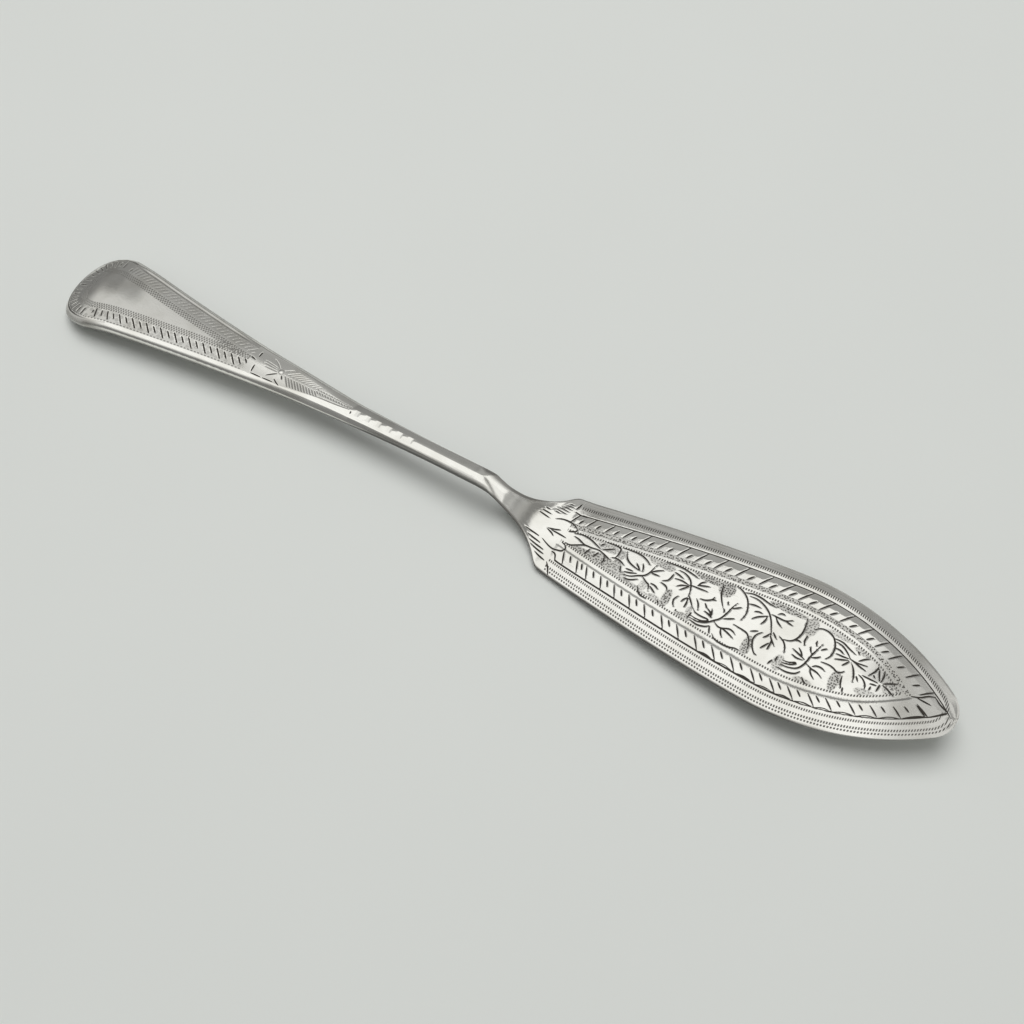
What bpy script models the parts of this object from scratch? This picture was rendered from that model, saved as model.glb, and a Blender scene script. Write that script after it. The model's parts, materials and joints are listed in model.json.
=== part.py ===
"""Silver butter knife: a leaf-shaped blade scarf-soldered to a slim, arched handle.

The knife is drawn with its blade lying level, shoulders at x = 0, tip towards +X and handle
towards -X. It is then tipped until it stands on the heel of the blade and the end of the handle,
as it does on a table, with the table at z = 0.
"""
import math

import bmesh
import bpy
from mathutils import Vector

MM = 0.001

# Blade, measured from its shoulders towards the tip
BLADE_LENGTH = 80.7 * MM
BELLY_STATION = 48.6 * MM
BELLY_WIDTH = 28.8 * MM
SHOULDER_WIDTH = 17.4 * MM
SHOULDER_ROUNDING = 1.2 * MM
TIP_RADIUS = 5.8 * MM
REAR_EDGE_POWER = 1.4
BLADE_THICKNESS = 1.6 * MM
TIP_THICKNESS = 1.1 * MM
HEEL_EDGE_THICKNESS = 1.2 * MM
TIP_EDGE_THICKNESS = 0.6 * MM
EDGE_NOSE_SHARE = 0.25
BEVEL_WIDTH = 2.1 * MM
CROWN = 0.2 * MM

# Handle, measured from the shoulders back to its end
HANDLE_LENGTH = 117.8 * MM
WAIST_STATION = 24.0 * MM
WAIST_WIDTH = 3.8 * MM
STEM_THICKNESS = 3.2 * MM
STEM_ROUNDNESS = 2.3
END_WIDTH = 19.3 * MM
END_THICKNESS = 2.6 * MM
END_ROUND_LENGTH = 9.8 * MM
END_ROUND_POWER = 2.45
TAPER_POWER = 1.8
FLARE_POWER = 5.0
SLAB_START = 36.0 * MM
SLAB_FULL = 84.0 * MM

# Side view: how far the underside rises above the plane of the blade
NECK_LENGTH = 17.5 * MM
NECK_RISE = 7.0 * MM
STEM_LIFT = 5.8 * MM
END_TURN_LENGTH = 18.8 * MM
END_DROP = 4.2 * MM

# Stations that follow from these sizes
TIP_CENTRE = BLADE_LENGTH - TIP_RADIUS
CREST_STATION = HANDLE_LENGTH - END_TURN_LENGTH

# Scarf joint across the neck
SCARF_STATION = 19.0 * MM
SCARF_ANGLE = math.radians(35.0)
SOLDER_THICKNESS = 0.25 * MM
JOINT_CLEARANCE = 0.1 * MM

# Colour and roughness of each piece
BLADE_COLOUR = (0.78, 0.77, 0.74)
BLADE_ROUGHNESS = 0.18
HANDLE_COLOUR = (0.74, 0.73, 0.70)
HANDLE_ROUGHNESS = 0.2
SOLDER_COLOUR = (0.66, 0.65, 0.61)
SOLDER_ROUGHNESS = 0.3

# How finely the curves are drawn
ROUND_STEPS = 12
HANDLE_STEPS = 26
NECK_STEPS = 18
CORNER_REACH = 4.0 * MM
CORNER_STEPS = 16
BLADE_STEPS = 20
PANEL_STEPS = 3
HALF_RING_STEPS = 2 * PANEL_STEPS + 4
SHARP_ANGLE = math.radians(40.0)
SETTLING_STEPS = 12


def ease(value):
    """Smooth step from 0 to 1."""
    value = min(max(value, 0.0), 1.0)
    return value * value * (3.0 - 2.0 * value)


def mix(first, second, share):
    return first + (second - first) * share


def soft_minimum(first, second, rounding):
    """The smaller of two widths, with the corner between them rounded."""
    spread = max(rounding - abs(first - second), 0.0) / rounding
    return min(first, second) - spread * spread * rounding / 4.0


def blade_half_width(x):
    """Half width of the leaf: nearly straight to the belly, an arc, then the round tip."""
    belly = BELLY_WIDTH / 2.0
    if x < BELLY_STATION:
        share = min((BELLY_STATION - x) / BELLY_STATION, 1.0)
        return belly - (belly - SHOULDER_WIDTH / 2.0) * share ** REAR_EDGE_POWER
    reach = TIP_CENTRE - BELLY_STATION
    front_radius = (reach ** 2 + belly ** 2 - TIP_RADIUS ** 2) / (2.0 * (belly - TIP_RADIUS))
    if x > TIP_CENTRE + TIP_RADIUS * reach / (front_radius - TIP_RADIUS):
        return math.sqrt(max(TIP_RADIUS ** 2 - (x - TIP_CENTRE) ** 2, 0.0))
    return belly - front_radius + math.sqrt(front_radius ** 2 - (x - BELLY_STATION) ** 2)


def handle_half_width(x):
    """Half width of the handle: narrow at the waist, flaring to the shoulders and to the end."""
    waist = WAIST_WIDTH / 2.0
    if x > -WAIST_STATION:
        share = (x + WAIST_STATION) / WAIST_STATION
        return waist + (SHOULDER_WIDTH / 2.0 - waist) * share ** FLARE_POWER
    widest = HANDLE_LENGTH - END_ROUND_LENGTH
    share = (-x - WAIST_STATION) / (widest - WAIST_STATION)
    width = waist + (END_WIDTH / 2.0 - waist) * min(share, 1.0) ** TAPER_POWER
    if share > 1.0:
        beyond = min((-x - widest) / END_ROUND_LENGTH, 1.0)
        width *= (1.0 - beyond ** END_ROUND_POWER) ** (1.0 / END_ROUND_POWER)
    return width


def half_width(x):
    """Half width anywhere on the knife, with the corners of the shoulders rounded."""
    if x < -WAIST_STATION:
        return handle_half_width(x)
    return soft_minimum(handle_half_width(x), blade_half_width(x), SHOULDER_ROUNDING)


def underside(x):
    """Height of the underside above the plane of the blade."""
    back = max(-x, 0.0)
    height = NECK_RISE * ease(back / NECK_LENGTH)
    run = max(back - NECK_LENGTH, 0.0) / (CREST_STATION - NECK_LENGTH)
    past = max(back - CREST_STATION, 0.0) / (HANDLE_LENGTH - CREST_STATION)
    return height + STEM_LIFT * run - END_DROP * past * past


def handle_thickness(x):
    """Thickness of the handle, from the stem to the flat end."""
    share = ease((-x - SLAB_START) / (SLAB_FULL - SLAB_START))
    return mix(STEM_THICKNESS, END_THICKNESS, share)


def end_fullness(x):
    """Share of the thickness that is left where the end of the handle is rounded off."""
    left = min((HANDLE_LENGTH + x) / (END_THICKNESS / 2.0), 1.0)
    return math.sqrt(1.0 - (1.0 - left) ** 2)


def plate_section(x):
    """Half section of the blade: flat below, a bevelled border and a slight crown above."""
    width = half_width(x)
    run = min(max(x / BLADE_LENGTH, 0.0), 1.0)
    edge = mix(HEEL_EDGE_THICKNESS, TIP_EDGE_THICKNESS, run)
    bevel = min(BEVEL_WIDTH, width / 2.0)
    near_tip = min((BLADE_LENGTH - x) / BEVEL_WIDTH, 1.0)
    middle = mix(edge, mix(BLADE_THICKNESS, TIP_THICKNESS, run), near_tip)
    border = mix(edge, middle - CROWN, near_tip)
    panel = width - bevel
    nose = min(edge * EDGE_NOSE_SHARE, bevel / 2.0)
    shares = [step / PANEL_STEPS for step in range(PANEL_STEPS + 1)]
    points = [(panel * share, mix(middle, border, share ** 2)) for share in shares]
    points += [(width - nose, edge), (width, edge / 2.0), (width - nose, 0.0)]
    points += [(panel * share, 0.0) for share in reversed(shares)]
    return points


def stem_section(x):
    """Half section of the stem: a full oval."""
    width = half_width(x)
    height = handle_thickness(x) / 2.0
    points = []
    for step in range(HALF_RING_STEPS + 1):
        turn = math.pi * step / HALF_RING_STEPS
        across = math.sin(turn) ** (2.0 / STEM_ROUNDNESS)
        up = math.copysign(abs(math.cos(turn)) ** (2.0 / STEM_ROUNDNESS), math.cos(turn))
        points.append((width * across, height + height * up))
    return points


def slab_section(x):
    """Half section of the handle end: a flat slab with a fully rounded edge."""
    width = half_width(x)
    height = handle_thickness(x) / 2.0
    radius = min(height, width)
    flat = width - radius
    slant = math.sqrt(0.5)
    shares = [step / PANEL_STEPS for step in range(PANEL_STEPS + 1)]
    points = [(flat * share, 2.0 * height) for share in shares]
    points.append((flat + radius * slant, height + height * slant))
    points.append((width, height))
    points.append((flat + radius * slant, height - height * slant))
    points += [(flat * share, 0.0) for share in reversed(shares)]
    return points


def half_section(x):
    """Half section at a station, passing from blade to stem to handle end."""
    neck = ease(-x / NECK_LENGTH)
    slab = ease((-x - SLAB_START) / (SLAB_FULL - SLAB_START))
    if slab > 0.0:
        pairs = zip(stem_section(x), slab_section(x))
        share = slab
    elif neck > 0.0:
        pairs = zip(plate_section(x), stem_section(x))
        share = neck
    else:
        return plate_section(x)
    return [(mix(a[0], b[0], share), mix(a[1], b[1], share)) for a, b in pairs]


def ring(x):
    """Closed ring of points round the knife at one station."""
    base = underside(x)
    middle = handle_thickness(x) / 2.0
    full = end_fullness(x)
    half = [(across, mix(middle, up, full)) for across, up in half_section(x)]
    right = [Vector((x, across, base + up)) for across, up in half]
    left = [Vector((x, -across, base + up)) for across, up in half[-2:0:-1]]
    return right + left


def stations():
    """Stations from the end of the handle to the tip, closer where the outline turns."""
    quarter = math.pi / 2.0
    places = []
    for step in range(1, ROUND_STEPS + 1):
        places.append(-HANDLE_LENGTH + END_ROUND_LENGTH * (1.0 - math.cos(quarter * step / ROUND_STEPS)))
    stretches = [
        (-HANDLE_LENGTH + END_ROUND_LENGTH, -WAIST_STATION, HANDLE_STEPS),
        (-WAIST_STATION, -CORNER_REACH, NECK_STEPS),
        (-CORNER_REACH, CORNER_REACH, CORNER_STEPS),
        (CORNER_REACH, TIP_CENTRE, BLADE_STEPS),
    ]
    for start, stop, count in stretches:
        places += [mix(start, stop, step / count) for step in range(1, count + 1)]
    for step in range(1, ROUND_STEPS):
        places.append(TIP_CENTRE + TIP_RADIUS * math.sin(quarter * step / ROUND_STEPS))
    return places


def knife_form():
    """The whole knife as one closed skin, before it is parted at the joint."""
    form = bmesh.new()
    rings = [[form.verts.new(point) for point in ring(x)] for x in stations()]
    for back, front in zip(rings, rings[1:]):
        count = len(back)
        for place in range(count):
            after = (place + 1) % count
            form.faces.new((back[place], back[after], front[after], front[place]))
    end_height = underside(-HANDLE_LENGTH) + END_THICKNESS / 2.0
    end_point = form.verts.new((-HANDLE_LENGTH, 0.0, end_height))
    tip_point = form.verts.new((BLADE_LENGTH, 0.0, TIP_EDGE_THICKNESS / 2.0))
    for pole, loop in ((end_point, rings[0]), (tip_point, rings[-1])):
        for place in range(len(loop)):
            form.faces.new((loop[place], loop[(place + 1) % len(loop)], pole))
    bmesh.ops.recalc_face_normals(form, faces=form.faces[:])
    return form


def cut_away(form, offset, towards):
    """Cut the form by a plane beside the scarf joint and close it; keep the side towards goes."""
    along = Vector((math.sin(SCARF_ANGLE), math.cos(SCARF_ANGLE), 0.0))
    middle = Vector((-SCARF_STATION, 0.0, 0.0)) + along * offset
    everything = form.verts[:] + form.edges[:] + form.faces[:]
    bmesh.ops.bisect_plane(
        form, geom=everything, plane_co=middle, plane_no=along * towards, clear_inner=True)
    rim = [edge for edge in form.edges if edge.is_boundary]
    bmesh.ops.holes_fill(form, edges=rim)
    bmesh.ops.recalc_face_normals(form, faces=form.faces[:])


def silver(name, colour, roughness):
    """A polished silver finish."""
    finish = bpy.data.materials.new(name)
    finish.use_nodes = True
    shader = finish.node_tree.nodes["Principled BSDF"]
    shader.inputs["Base Color"].default_value = (*colour, 1.0)
    shader.inputs["Metallic"].default_value = 1.0
    shader.inputs["Roughness"].default_value = roughness
    return finish


def piece(name, form, finish, holder):
    """Turn a form into a named piece carried by the knife's frame."""
    mesh = bpy.data.meshes.new(name)
    form.to_mesh(mesh)
    form.free()
    mesh.shade_smooth()
    mesh.set_sharp_from_angle(angle=SHARP_ANGLE)
    mesh.materials.append(finish)
    body = bpy.data.objects.new(name, mesh)
    body.parent = holder
    bpy.context.collection.objects.link(body)
    return body


def resting_tilt(points):
    """Angle that brings the end of the handle and the heel of the blade onto one level."""
    behind = [point for point in points if point.x < -CREST_STATION]
    ahead = [point for point in points if point.x > -NECK_LENGTH]
    tilt = 0.0
    for _ in range(SETTLING_STEPS):
        level = Vector((math.sin(tilt), 0.0, math.cos(tilt)))
        end = min(behind, key=level.dot)
        heel = min(ahead, key=level.dot)
        tilt = math.atan2(end.z - heel.z, heel.x - end.x)
    return tilt


def main():
    for old in list(bpy.data.objects):
        bpy.data.objects.remove(old, do_unlink=True)
    frame = bpy.data.objects.new("knife_frame", None)
    bpy.context.collection.objects.link(frame)

    seam_face = SOLDER_THICKNESS / 2.0
    cut_face = seam_face + JOINT_CLEARANCE
    blade_form = knife_form()
    cut_away(blade_form, cut_face, 1.0)
    handle_form = knife_form()
    cut_away(handle_form, -cut_face, -1.0)
    solder_form = knife_form()
    cut_away(solder_form, -seam_face, 1.0)
    cut_away(solder_form, seam_face, -1.0)

    blade_silver = silver("blade_silver", BLADE_COLOUR, BLADE_ROUGHNESS)
    handle_silver = silver("handle_silver", HANDLE_COLOUR, HANDLE_ROUGHNESS)
    solder_silver = silver("solder_silver", SOLDER_COLOUR, SOLDER_ROUGHNESS)
    pieces = [
        piece("blade", blade_form, blade_silver, frame),
        piece("handle", handle_form, handle_silver, frame),
        piece("solder_seam", solder_form, solder_silver, frame),
    ]

    points = [corner.co.copy() for body in pieces for corner in body.data.vertices]
    tilt = resting_tilt(points)
    frame.rotation_euler = (0.0, -tilt, 0.0)
    turned = [frame.rotation_euler.to_matrix() @ point for point in points]
    lengthwise = [point.x for point in turned]
    lowest = min(point.z for point in turned)
    frame.location = (-(min(lengthwise) + max(lengthwise)) / 2.0, 0.0, -lowest)
    bpy.context.view_layer.update()


main()
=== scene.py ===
"""Engraved silver butter knife lying on a pale table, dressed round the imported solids.

Lengths are millimetres. Along the knife x runs from the shoulders of the blade (0) to its tip,
and back to the end of the handle (negative); y runs across, negative on the near side, and z up
from the blade's underside.
"""

import json
import math

import bpy
import numpy as np
from mathutils import Matrix, Vector
from mathutils.kdtree import KDTree


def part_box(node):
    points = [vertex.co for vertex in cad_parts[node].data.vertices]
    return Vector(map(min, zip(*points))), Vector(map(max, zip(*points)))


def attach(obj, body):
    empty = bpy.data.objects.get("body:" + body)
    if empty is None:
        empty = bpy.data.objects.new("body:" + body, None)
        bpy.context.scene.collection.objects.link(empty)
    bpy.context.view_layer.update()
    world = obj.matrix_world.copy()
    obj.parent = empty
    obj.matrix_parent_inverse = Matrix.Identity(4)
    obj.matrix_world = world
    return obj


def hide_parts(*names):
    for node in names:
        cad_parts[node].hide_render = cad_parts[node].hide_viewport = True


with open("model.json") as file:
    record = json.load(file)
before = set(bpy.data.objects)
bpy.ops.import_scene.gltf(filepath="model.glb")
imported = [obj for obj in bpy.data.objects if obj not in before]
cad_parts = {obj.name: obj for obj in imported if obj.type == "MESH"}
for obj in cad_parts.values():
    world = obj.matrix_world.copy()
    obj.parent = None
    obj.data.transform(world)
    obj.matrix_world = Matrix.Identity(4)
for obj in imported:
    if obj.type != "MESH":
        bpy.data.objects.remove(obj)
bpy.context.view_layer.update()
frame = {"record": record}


# Blade: a flat leaf of silver sheet with a bevelled edge, a domed ladder border and an engraved
# panel. Behind the shoulders the sheet narrows, climbs as a short neck and takes the stem's ridge.
MM = 0.001
BLADE_LENGTH = 80.7
BELLY_STATION = 48.6
BELLY_WIDTH = 28.8
SHOULDER_WIDTH = 17.4
SHOULDER_ROUNDING = 1.2
TIP_RADIUS = 5.8
REAR_EDGE_POWER = 1.4
BLADE_THICKNESS = 1.6
TIP_THICKNESS = 1.1
TIP_EDGE_THICKNESS = 0.6
HANDLE_LENGTH = 118.3
WAIST_STATION = 24.0
WAIST_WIDTH = 3.8
FLARE_POWER = 5.0
END_WIDTH = 19.3
END_ROUND_LENGTH = 9.8
END_ROUND_POWER = 2.45
TAPER_POWER = 1.8
NECK_LENGTH = 17.5
NECK_RISE = 7.0
HEEL_LIFT = 0.65
HEEL_MIDDLE = -2.3
HEEL_REACH = 7.0
STEM_LIFT = 5.8
END_TURN_LENGTH = 18.8
END_DROP = 4.2
TIP_CENTRE = BLADE_LENGTH - TIP_RADIUS
CREST_STATION = HANDLE_LENGTH - END_TURN_LENGTH
FRONT_REACH = TIP_CENTRE - BELLY_STATION
FRONT_SQUARES = FRONT_REACH ** 2 + (BELLY_WIDTH / 2) ** 2 - TIP_RADIUS ** 2
FRONT_RADIUS = FRONT_SQUARES / (BELLY_WIDTH - 2 * TIP_RADIUS)
STEM_THICKNESS = 3.2
SCARF_STATION = 19.0
SCARF_ANGLE = math.radians(35.0)
SOLDER_THICKNESS = 0.25
JOINT_GAP = 0.005


def ease(value):
    """Smooth step from 0 to 1."""
    value = np.clip(value, 0.0, 1.0)
    return value * value * (3.0 - 2.0 * value)


def ramp(value, start, run):
    """Smooth step from 0 at the start to 1 after the run; a negative run steps the other way."""
    return ease((value - start) / run)


def span(value, start, rise, stop, fall):
    """A mask that rises from 0 after the start and is back at 0 at the stop."""
    return ramp(value, start, rise) * ramp(value, stop, -fall)


def mix(first, second, share):
    """A value between two others."""
    return first + (second - first) * share


def pointed_half_width(x):
    """Half width of the leaf as the border follows it: the front arcs meet in a point."""
    belly = BELLY_WIDTH / 2
    rear_share = np.clip((BELLY_STATION - x) / BELLY_STATION, 0.0, 1.0)
    rear = belly - (belly - SHOULDER_WIDTH / 2) * rear_share ** REAR_EDGE_POWER
    inside = np.maximum(FRONT_RADIUS ** 2 - np.maximum(x - BELLY_STATION, 0.0) ** 2, 0.0)
    front = belly - FRONT_RADIUS + np.sqrt(inside)
    return np.where(x < BELLY_STATION, rear, front)


def blade_half_width(x):
    """Half width of the leaf with its round tip."""
    tangent = TIP_CENTRE + TIP_RADIUS * FRONT_REACH / (FRONT_RADIUS - TIP_RADIUS)
    tip = np.sqrt(np.maximum(TIP_RADIUS ** 2 - (x - TIP_CENTRE) ** 2, 0.0))
    return np.where(x > tangent, tip, pointed_half_width(x))


def handle_half_width(x):
    """Half width of the handle: flared to the shoulders, slim at the waist, broad at the end."""
    waist = WAIST_WIDTH / 2
    flare = np.clip((x + WAIST_STATION) / WAIST_STATION, 0.0, None)
    front = waist + (SHOULDER_WIDTH / 2 - waist) * flare ** FLARE_POWER
    widest = HANDLE_LENGTH - END_ROUND_LENGTH
    share = np.clip((-x - WAIST_STATION) / (widest - WAIST_STATION), 0.0, 1.0)
    back = waist + (END_WIDTH / 2 - waist) * share ** TAPER_POWER
    beyond = np.clip((-x - widest) / END_ROUND_LENGTH, 0.0, 1.0)
    back = back * (1.0 - beyond ** END_ROUND_POWER) ** (1.0 / END_ROUND_POWER)
    return np.where(x > -WAIST_STATION, front, back)


def half_width(x):
    """Half width anywhere, with the corners of the shoulders rounded."""
    first = handle_half_width(x)
    second = blade_half_width(x)
    spread = np.maximum(SHOULDER_ROUNDING - np.abs(first - second), 0.0) / SHOULDER_ROUNDING
    rounded = np.minimum(first, second) - spread * spread * SHOULDER_ROUNDING / 4
    return np.where(x < -WAIST_STATION, first, rounded)


def underside(x):
    """Height of the underside: level under the blade, up the neck, along the arched handle."""
    back = np.maximum(-x, 0.0)
    run = np.maximum(back - NECK_LENGTH, 0.0) / (CREST_STATION - NECK_LENGTH)
    past = np.maximum(back - CREST_STATION, 0.0) / END_TURN_LENGTH
    heel = HEEL_LIFT * (1.0 - ease(np.abs(x - HEEL_MIDDLE) / HEEL_REACH))
    return heel + NECK_RISE * ease(back / NECK_LENGTH) + STEM_LIFT * run - END_DROP * past ** 2


rest_face = frame["record"]["mounts"][0]
TILT = math.asin(rest_face["axis"][0])
TIP_REACH = BLADE_LENGTH * math.cos(TILT) - TIP_EDGE_THICKNESS / 2 * math.sin(TILT)
SHIFT_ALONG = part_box("blade")[1].x / MM - TIP_REACH
REST_RUN = (rest_face["pos_m"][0] / MM - SHIFT_ALONG) / math.cos(TILT)
SHIFT_UP = rest_face["pos_m"][2] / MM - REST_RUN * math.sin(TILT)


def lay_down(x, y, z):
    """Points of the level knife, tipped onto heel and handle end, in metres in the row frame."""
    along = x * math.cos(TILT) - z * math.sin(TILT) + SHIFT_ALONG
    up = x * math.sin(TILT) + z * math.cos(TILT) + SHIFT_UP
    return np.stack([along, y, up], axis=-1) * MM


def run_along(line_x, line_y):
    """Length of a line up to each of its points."""
    return np.concatenate([[0.0], np.cumsum(np.hypot(np.diff(line_x), np.diff(line_y)))])


def nearest_on(x, y, outline_x, outline_y):
    """Distance from an outline of close points, the same on both sides, and the nearest point."""
    tree = KDTree(len(outline_x))
    for place, (along, across) in enumerate(zip(outline_x, outline_y)):
        tree.insert((along, across, 0.0), place)
    tree.balance()
    found = [tree.find((a, b, 0.0)) for a, b in zip(x.ravel(), np.abs(y).ravel())]
    distance = np.array([item[2] for item in found]).reshape(x.shape)
    return distance, np.array([item[1] for item in found]).reshape(x.shape)


def smooth_line(points, steps=7):
    """A smooth line through a few drawn points."""
    drawn = np.array(points, float)
    if len(drawn) == 2:
        return drawn
    padded = np.vstack([2 * drawn[0] - drawn[1], drawn, 2 * drawn[-1] - drawn[-2]])
    line = []
    for place in range(1, len(padded) - 2):
        a, b, c, d = padded[place - 1:place + 3]
        for t in np.arange(steps) / steps:
            line.append(0.5 * (2 * b + (c - a) * t + (2 * a - 5 * b + 4 * c - d) * t ** 2
                               + (3 * b - a - 3 * c + d) * t ** 3))
    line.append(drawn[-1])
    return np.array(line)


UNCUT = 9.0
STROKE_REACH = 3.0
STROKE_END = 0.45
STROKE_SWELL = 0.55
STROKE_POWER = 0.7


def engrave(cuts, x, y, strokes, half_breadth):
    """Cut tapering graver strokes: cuts keeps each point's distance from a stroke in half breadths."""
    for stroke in strokes:
        line = smooth_line(stroke)
        reach = half_breadth * STROKE_REACH
        rows = np.nonzero((x.max(axis=1) > line[:, 0].min() - reach)
                          & (x.min(axis=1) < line[:, 0].max() + reach))[0]
        if len(rows) == 0:
            continue
        part = slice(rows[0], rows[-1] + 1)
        px, py = x[part], y[part]
        share = np.linspace(0.0, 1.0, len(line))
        nearest = np.full(px.shape, UNCUT)
        for (x0, y0), (x1, y1), s0, s1 in zip(line, line[1:], share, share[1:]):
            dx, dy = x1 - x0, y1 - y0
            t = np.clip(((px - x0) * dx + (py - y0) * dy) / (dx * dx + dy * dy + 1e-9), 0.0, 1.0)
            gap = np.hypot(px - x0 - t * dx, py - y0 - t * dy)
            along = mix(s0, s1, t)
            swell = STROKE_END + STROKE_SWELL * np.sin(np.pi * along) ** STROKE_POWER
            breadth = half_breadth * swell
            nearest = np.minimum(nearest, gap / breadth)
        cuts[part] = np.minimum(cuts[part], nearest)


# Leaf spray of the panel, drawn from the neck to the tip: three-lobed leaves on a winding stem.
BASE_LEAF = [
    [(-1.4, -0.55), (0.0, -0.1), (0.9, 0.35)],
    [(-0.6, -0.55), (1.0, -0.55), (2.6, -0.6)],
    [(-1.4, -0.75), (-0.4, -1.05), (0.3, -1.45)],
    [(-1.0, 2.05), (0.0, 2.6), (1.4, 2.85), (2.6, 2.65), (3.4, 2.35)],
    [(3.7, 2.2), (3.6, 1.6), (3.0, 1.25), (2.4, 0.9)],
    [(-1.2, -3.05), (0.0, -3.55), (1.2, -3.9), (2.4, -3.85), (3.3, -3.55), (3.65, -2.8), (3.3, -2.1),
     (2.4, -1.75)],
]
BUD = [
    [(3.6, 1.1), (4.6, 1.5), (5.8, 1.6), (7.2, 1.4), (8.6, 0.9), (9.6, 0.5)],
    [(3.9, 0.6), (5.0, 0.4), (6.0, 0.0), (6.8, -0.15)],
    [(3.0, -1.5), (4.0, -1.5), (5.2, -0.9), (6.6, -0.2), (8.0, -0.1), (9.2, 0.1), (10.0, 0.0)],
    [(9.5, 0.2), (11.0, -0.3), (12.2, -0.7)],
    [(10.1, 0.6), (11.0, 1.1), (12.1, 1.8)],
    [(9.3, 1.2), (9.8, 1.9)],
    [(7.9, -0.4), (7.6, -1.2), (7.3, -1.9)],
    [(9.7, -0.3), (9.4, -1.0), (9.1, -1.7)],
    [(11.0, -0.5), (11.3, -1.4), (11.2, -2.1)],
]
FIRST_LEAF = [
    [(10.0, 2.4), (12.0, 2.6), (13.1, 2.3), (13.2, 1.0), (13.0, 0.1)],
    [(14.4, 2.5), (14.9, 1.4), (15.8, 0.6), (17.2, 0.1), (18.3, -0.1)],
    [(12.4, -0.1), (13.4, 0.1), (14.4, -0.1), (15.2, -0.5)],
    [(14.7, -0.7), (15.0, -1.6), (15.3, -2.1)],
    [(13.4, 2.8), (15.0, 3.0), (17.0, 3.05), (18.5, 2.6), (19.6, 1.9)],
    [(17.1, 1.1), (17.8, 0.5), (18.4, -0.1)],
    [(18.2, 1.6), (18.7, 0.8), (18.9, 0.0)],
    [(15.9, -0.9), (17.4, -0.85)],
    [(15.8, -1.7), (17.0, -1.4), (18.2, -0.9)],
    [(16.0, -2.3), (17.4, -2.0), (18.6, -1.2), (19.4, -0.8), (19.9, -0.3), (20.3, 0.6), (20.7, 2.5)],
    [(16.4, -2.9), (17.6, -2.75), (18.9, -1.9)],
    [(19.5, -1.0), (20.6, -1.7), (21.2, -2.0), (21.7, -3.2)],
    [(20.4, 0.5), (21.2, 1.3), (22.4, 2.1)],
    [(20.6, 0.5), (22.2, 0.6)],
    [(21.4, -1.5), (22.4, -1.6), (23.2, -2.0)],
    [(21.6, -2.1), (23.0, -3.0)],
    [(19.5, -3.1), (20.2, -4.2), (21.0, -4.7), (22.2, -4.8)],
    [(23.0, -0.4), (24.2, -0.7), (24.9, -1.5)],
    [(23.1, 0.0), (24.0, 0.6), (24.3, 1.6), (24.4, 2.4)],
]
SECOND_LEAF = [
    [(22.0, 4.0), (25.0, 4.3), (27.5, 4.0), (28.8, 3.7)],
    [(24.9, 3.6), (26.4, 3.4), (27.6, 2.7), (28.3, 1.6), (28.7, 0.5), (28.9, -0.8)],
    [(28.9, -0.4), (29.6, -1.2), (30.6, -2.4)],
    [(25.0, 1.6), (26.5, 1.75), (28.0, 1.5)],
    [(26.0, 0.3), (26.8, 0.9), (28.0, 1.3)],
    [(26.8, -0.2), (27.4, 0.5), (28.0, 1.2)],
    [(24.4, 2.8), (25.4, 2.6), (26.4, 2.3)],
    [(28.2, 1.7), (29.8, 1.8), (31.6, 1.95)],
    [(29.4, 2.3), (30.4, 2.7), (31.5, 3.1)],
    [(29.4, 2.2), (29.8, 3.1), (30.4, 3.7)],
    [(27.2, -1.4), (26.8, -2.4), (27.0, -3.3), (27.4, -3.8)],
    [(28.9, -0.9), (28.4, -1.6), (28.1, -2.3)],
    [(29.0, -1.0), (29.2, -2.2), (29.1, -3.2)],
    [(28.1, -4.1), (28.1, -4.5)],
    [(24.2, -4.1), (24.6, -4.6)],
    [(31.0, 0.0), (32.0, 0.15), (33.0, 0.8), (33.3, 1.6)],
    [(32.9, 0.8), (33.8, 1.1)],
    [(33.6, 4.8), (33.8, 3.6), (34.2, 2.4), (34.9, 1.2), (35.7, 0.1)],
]
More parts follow.
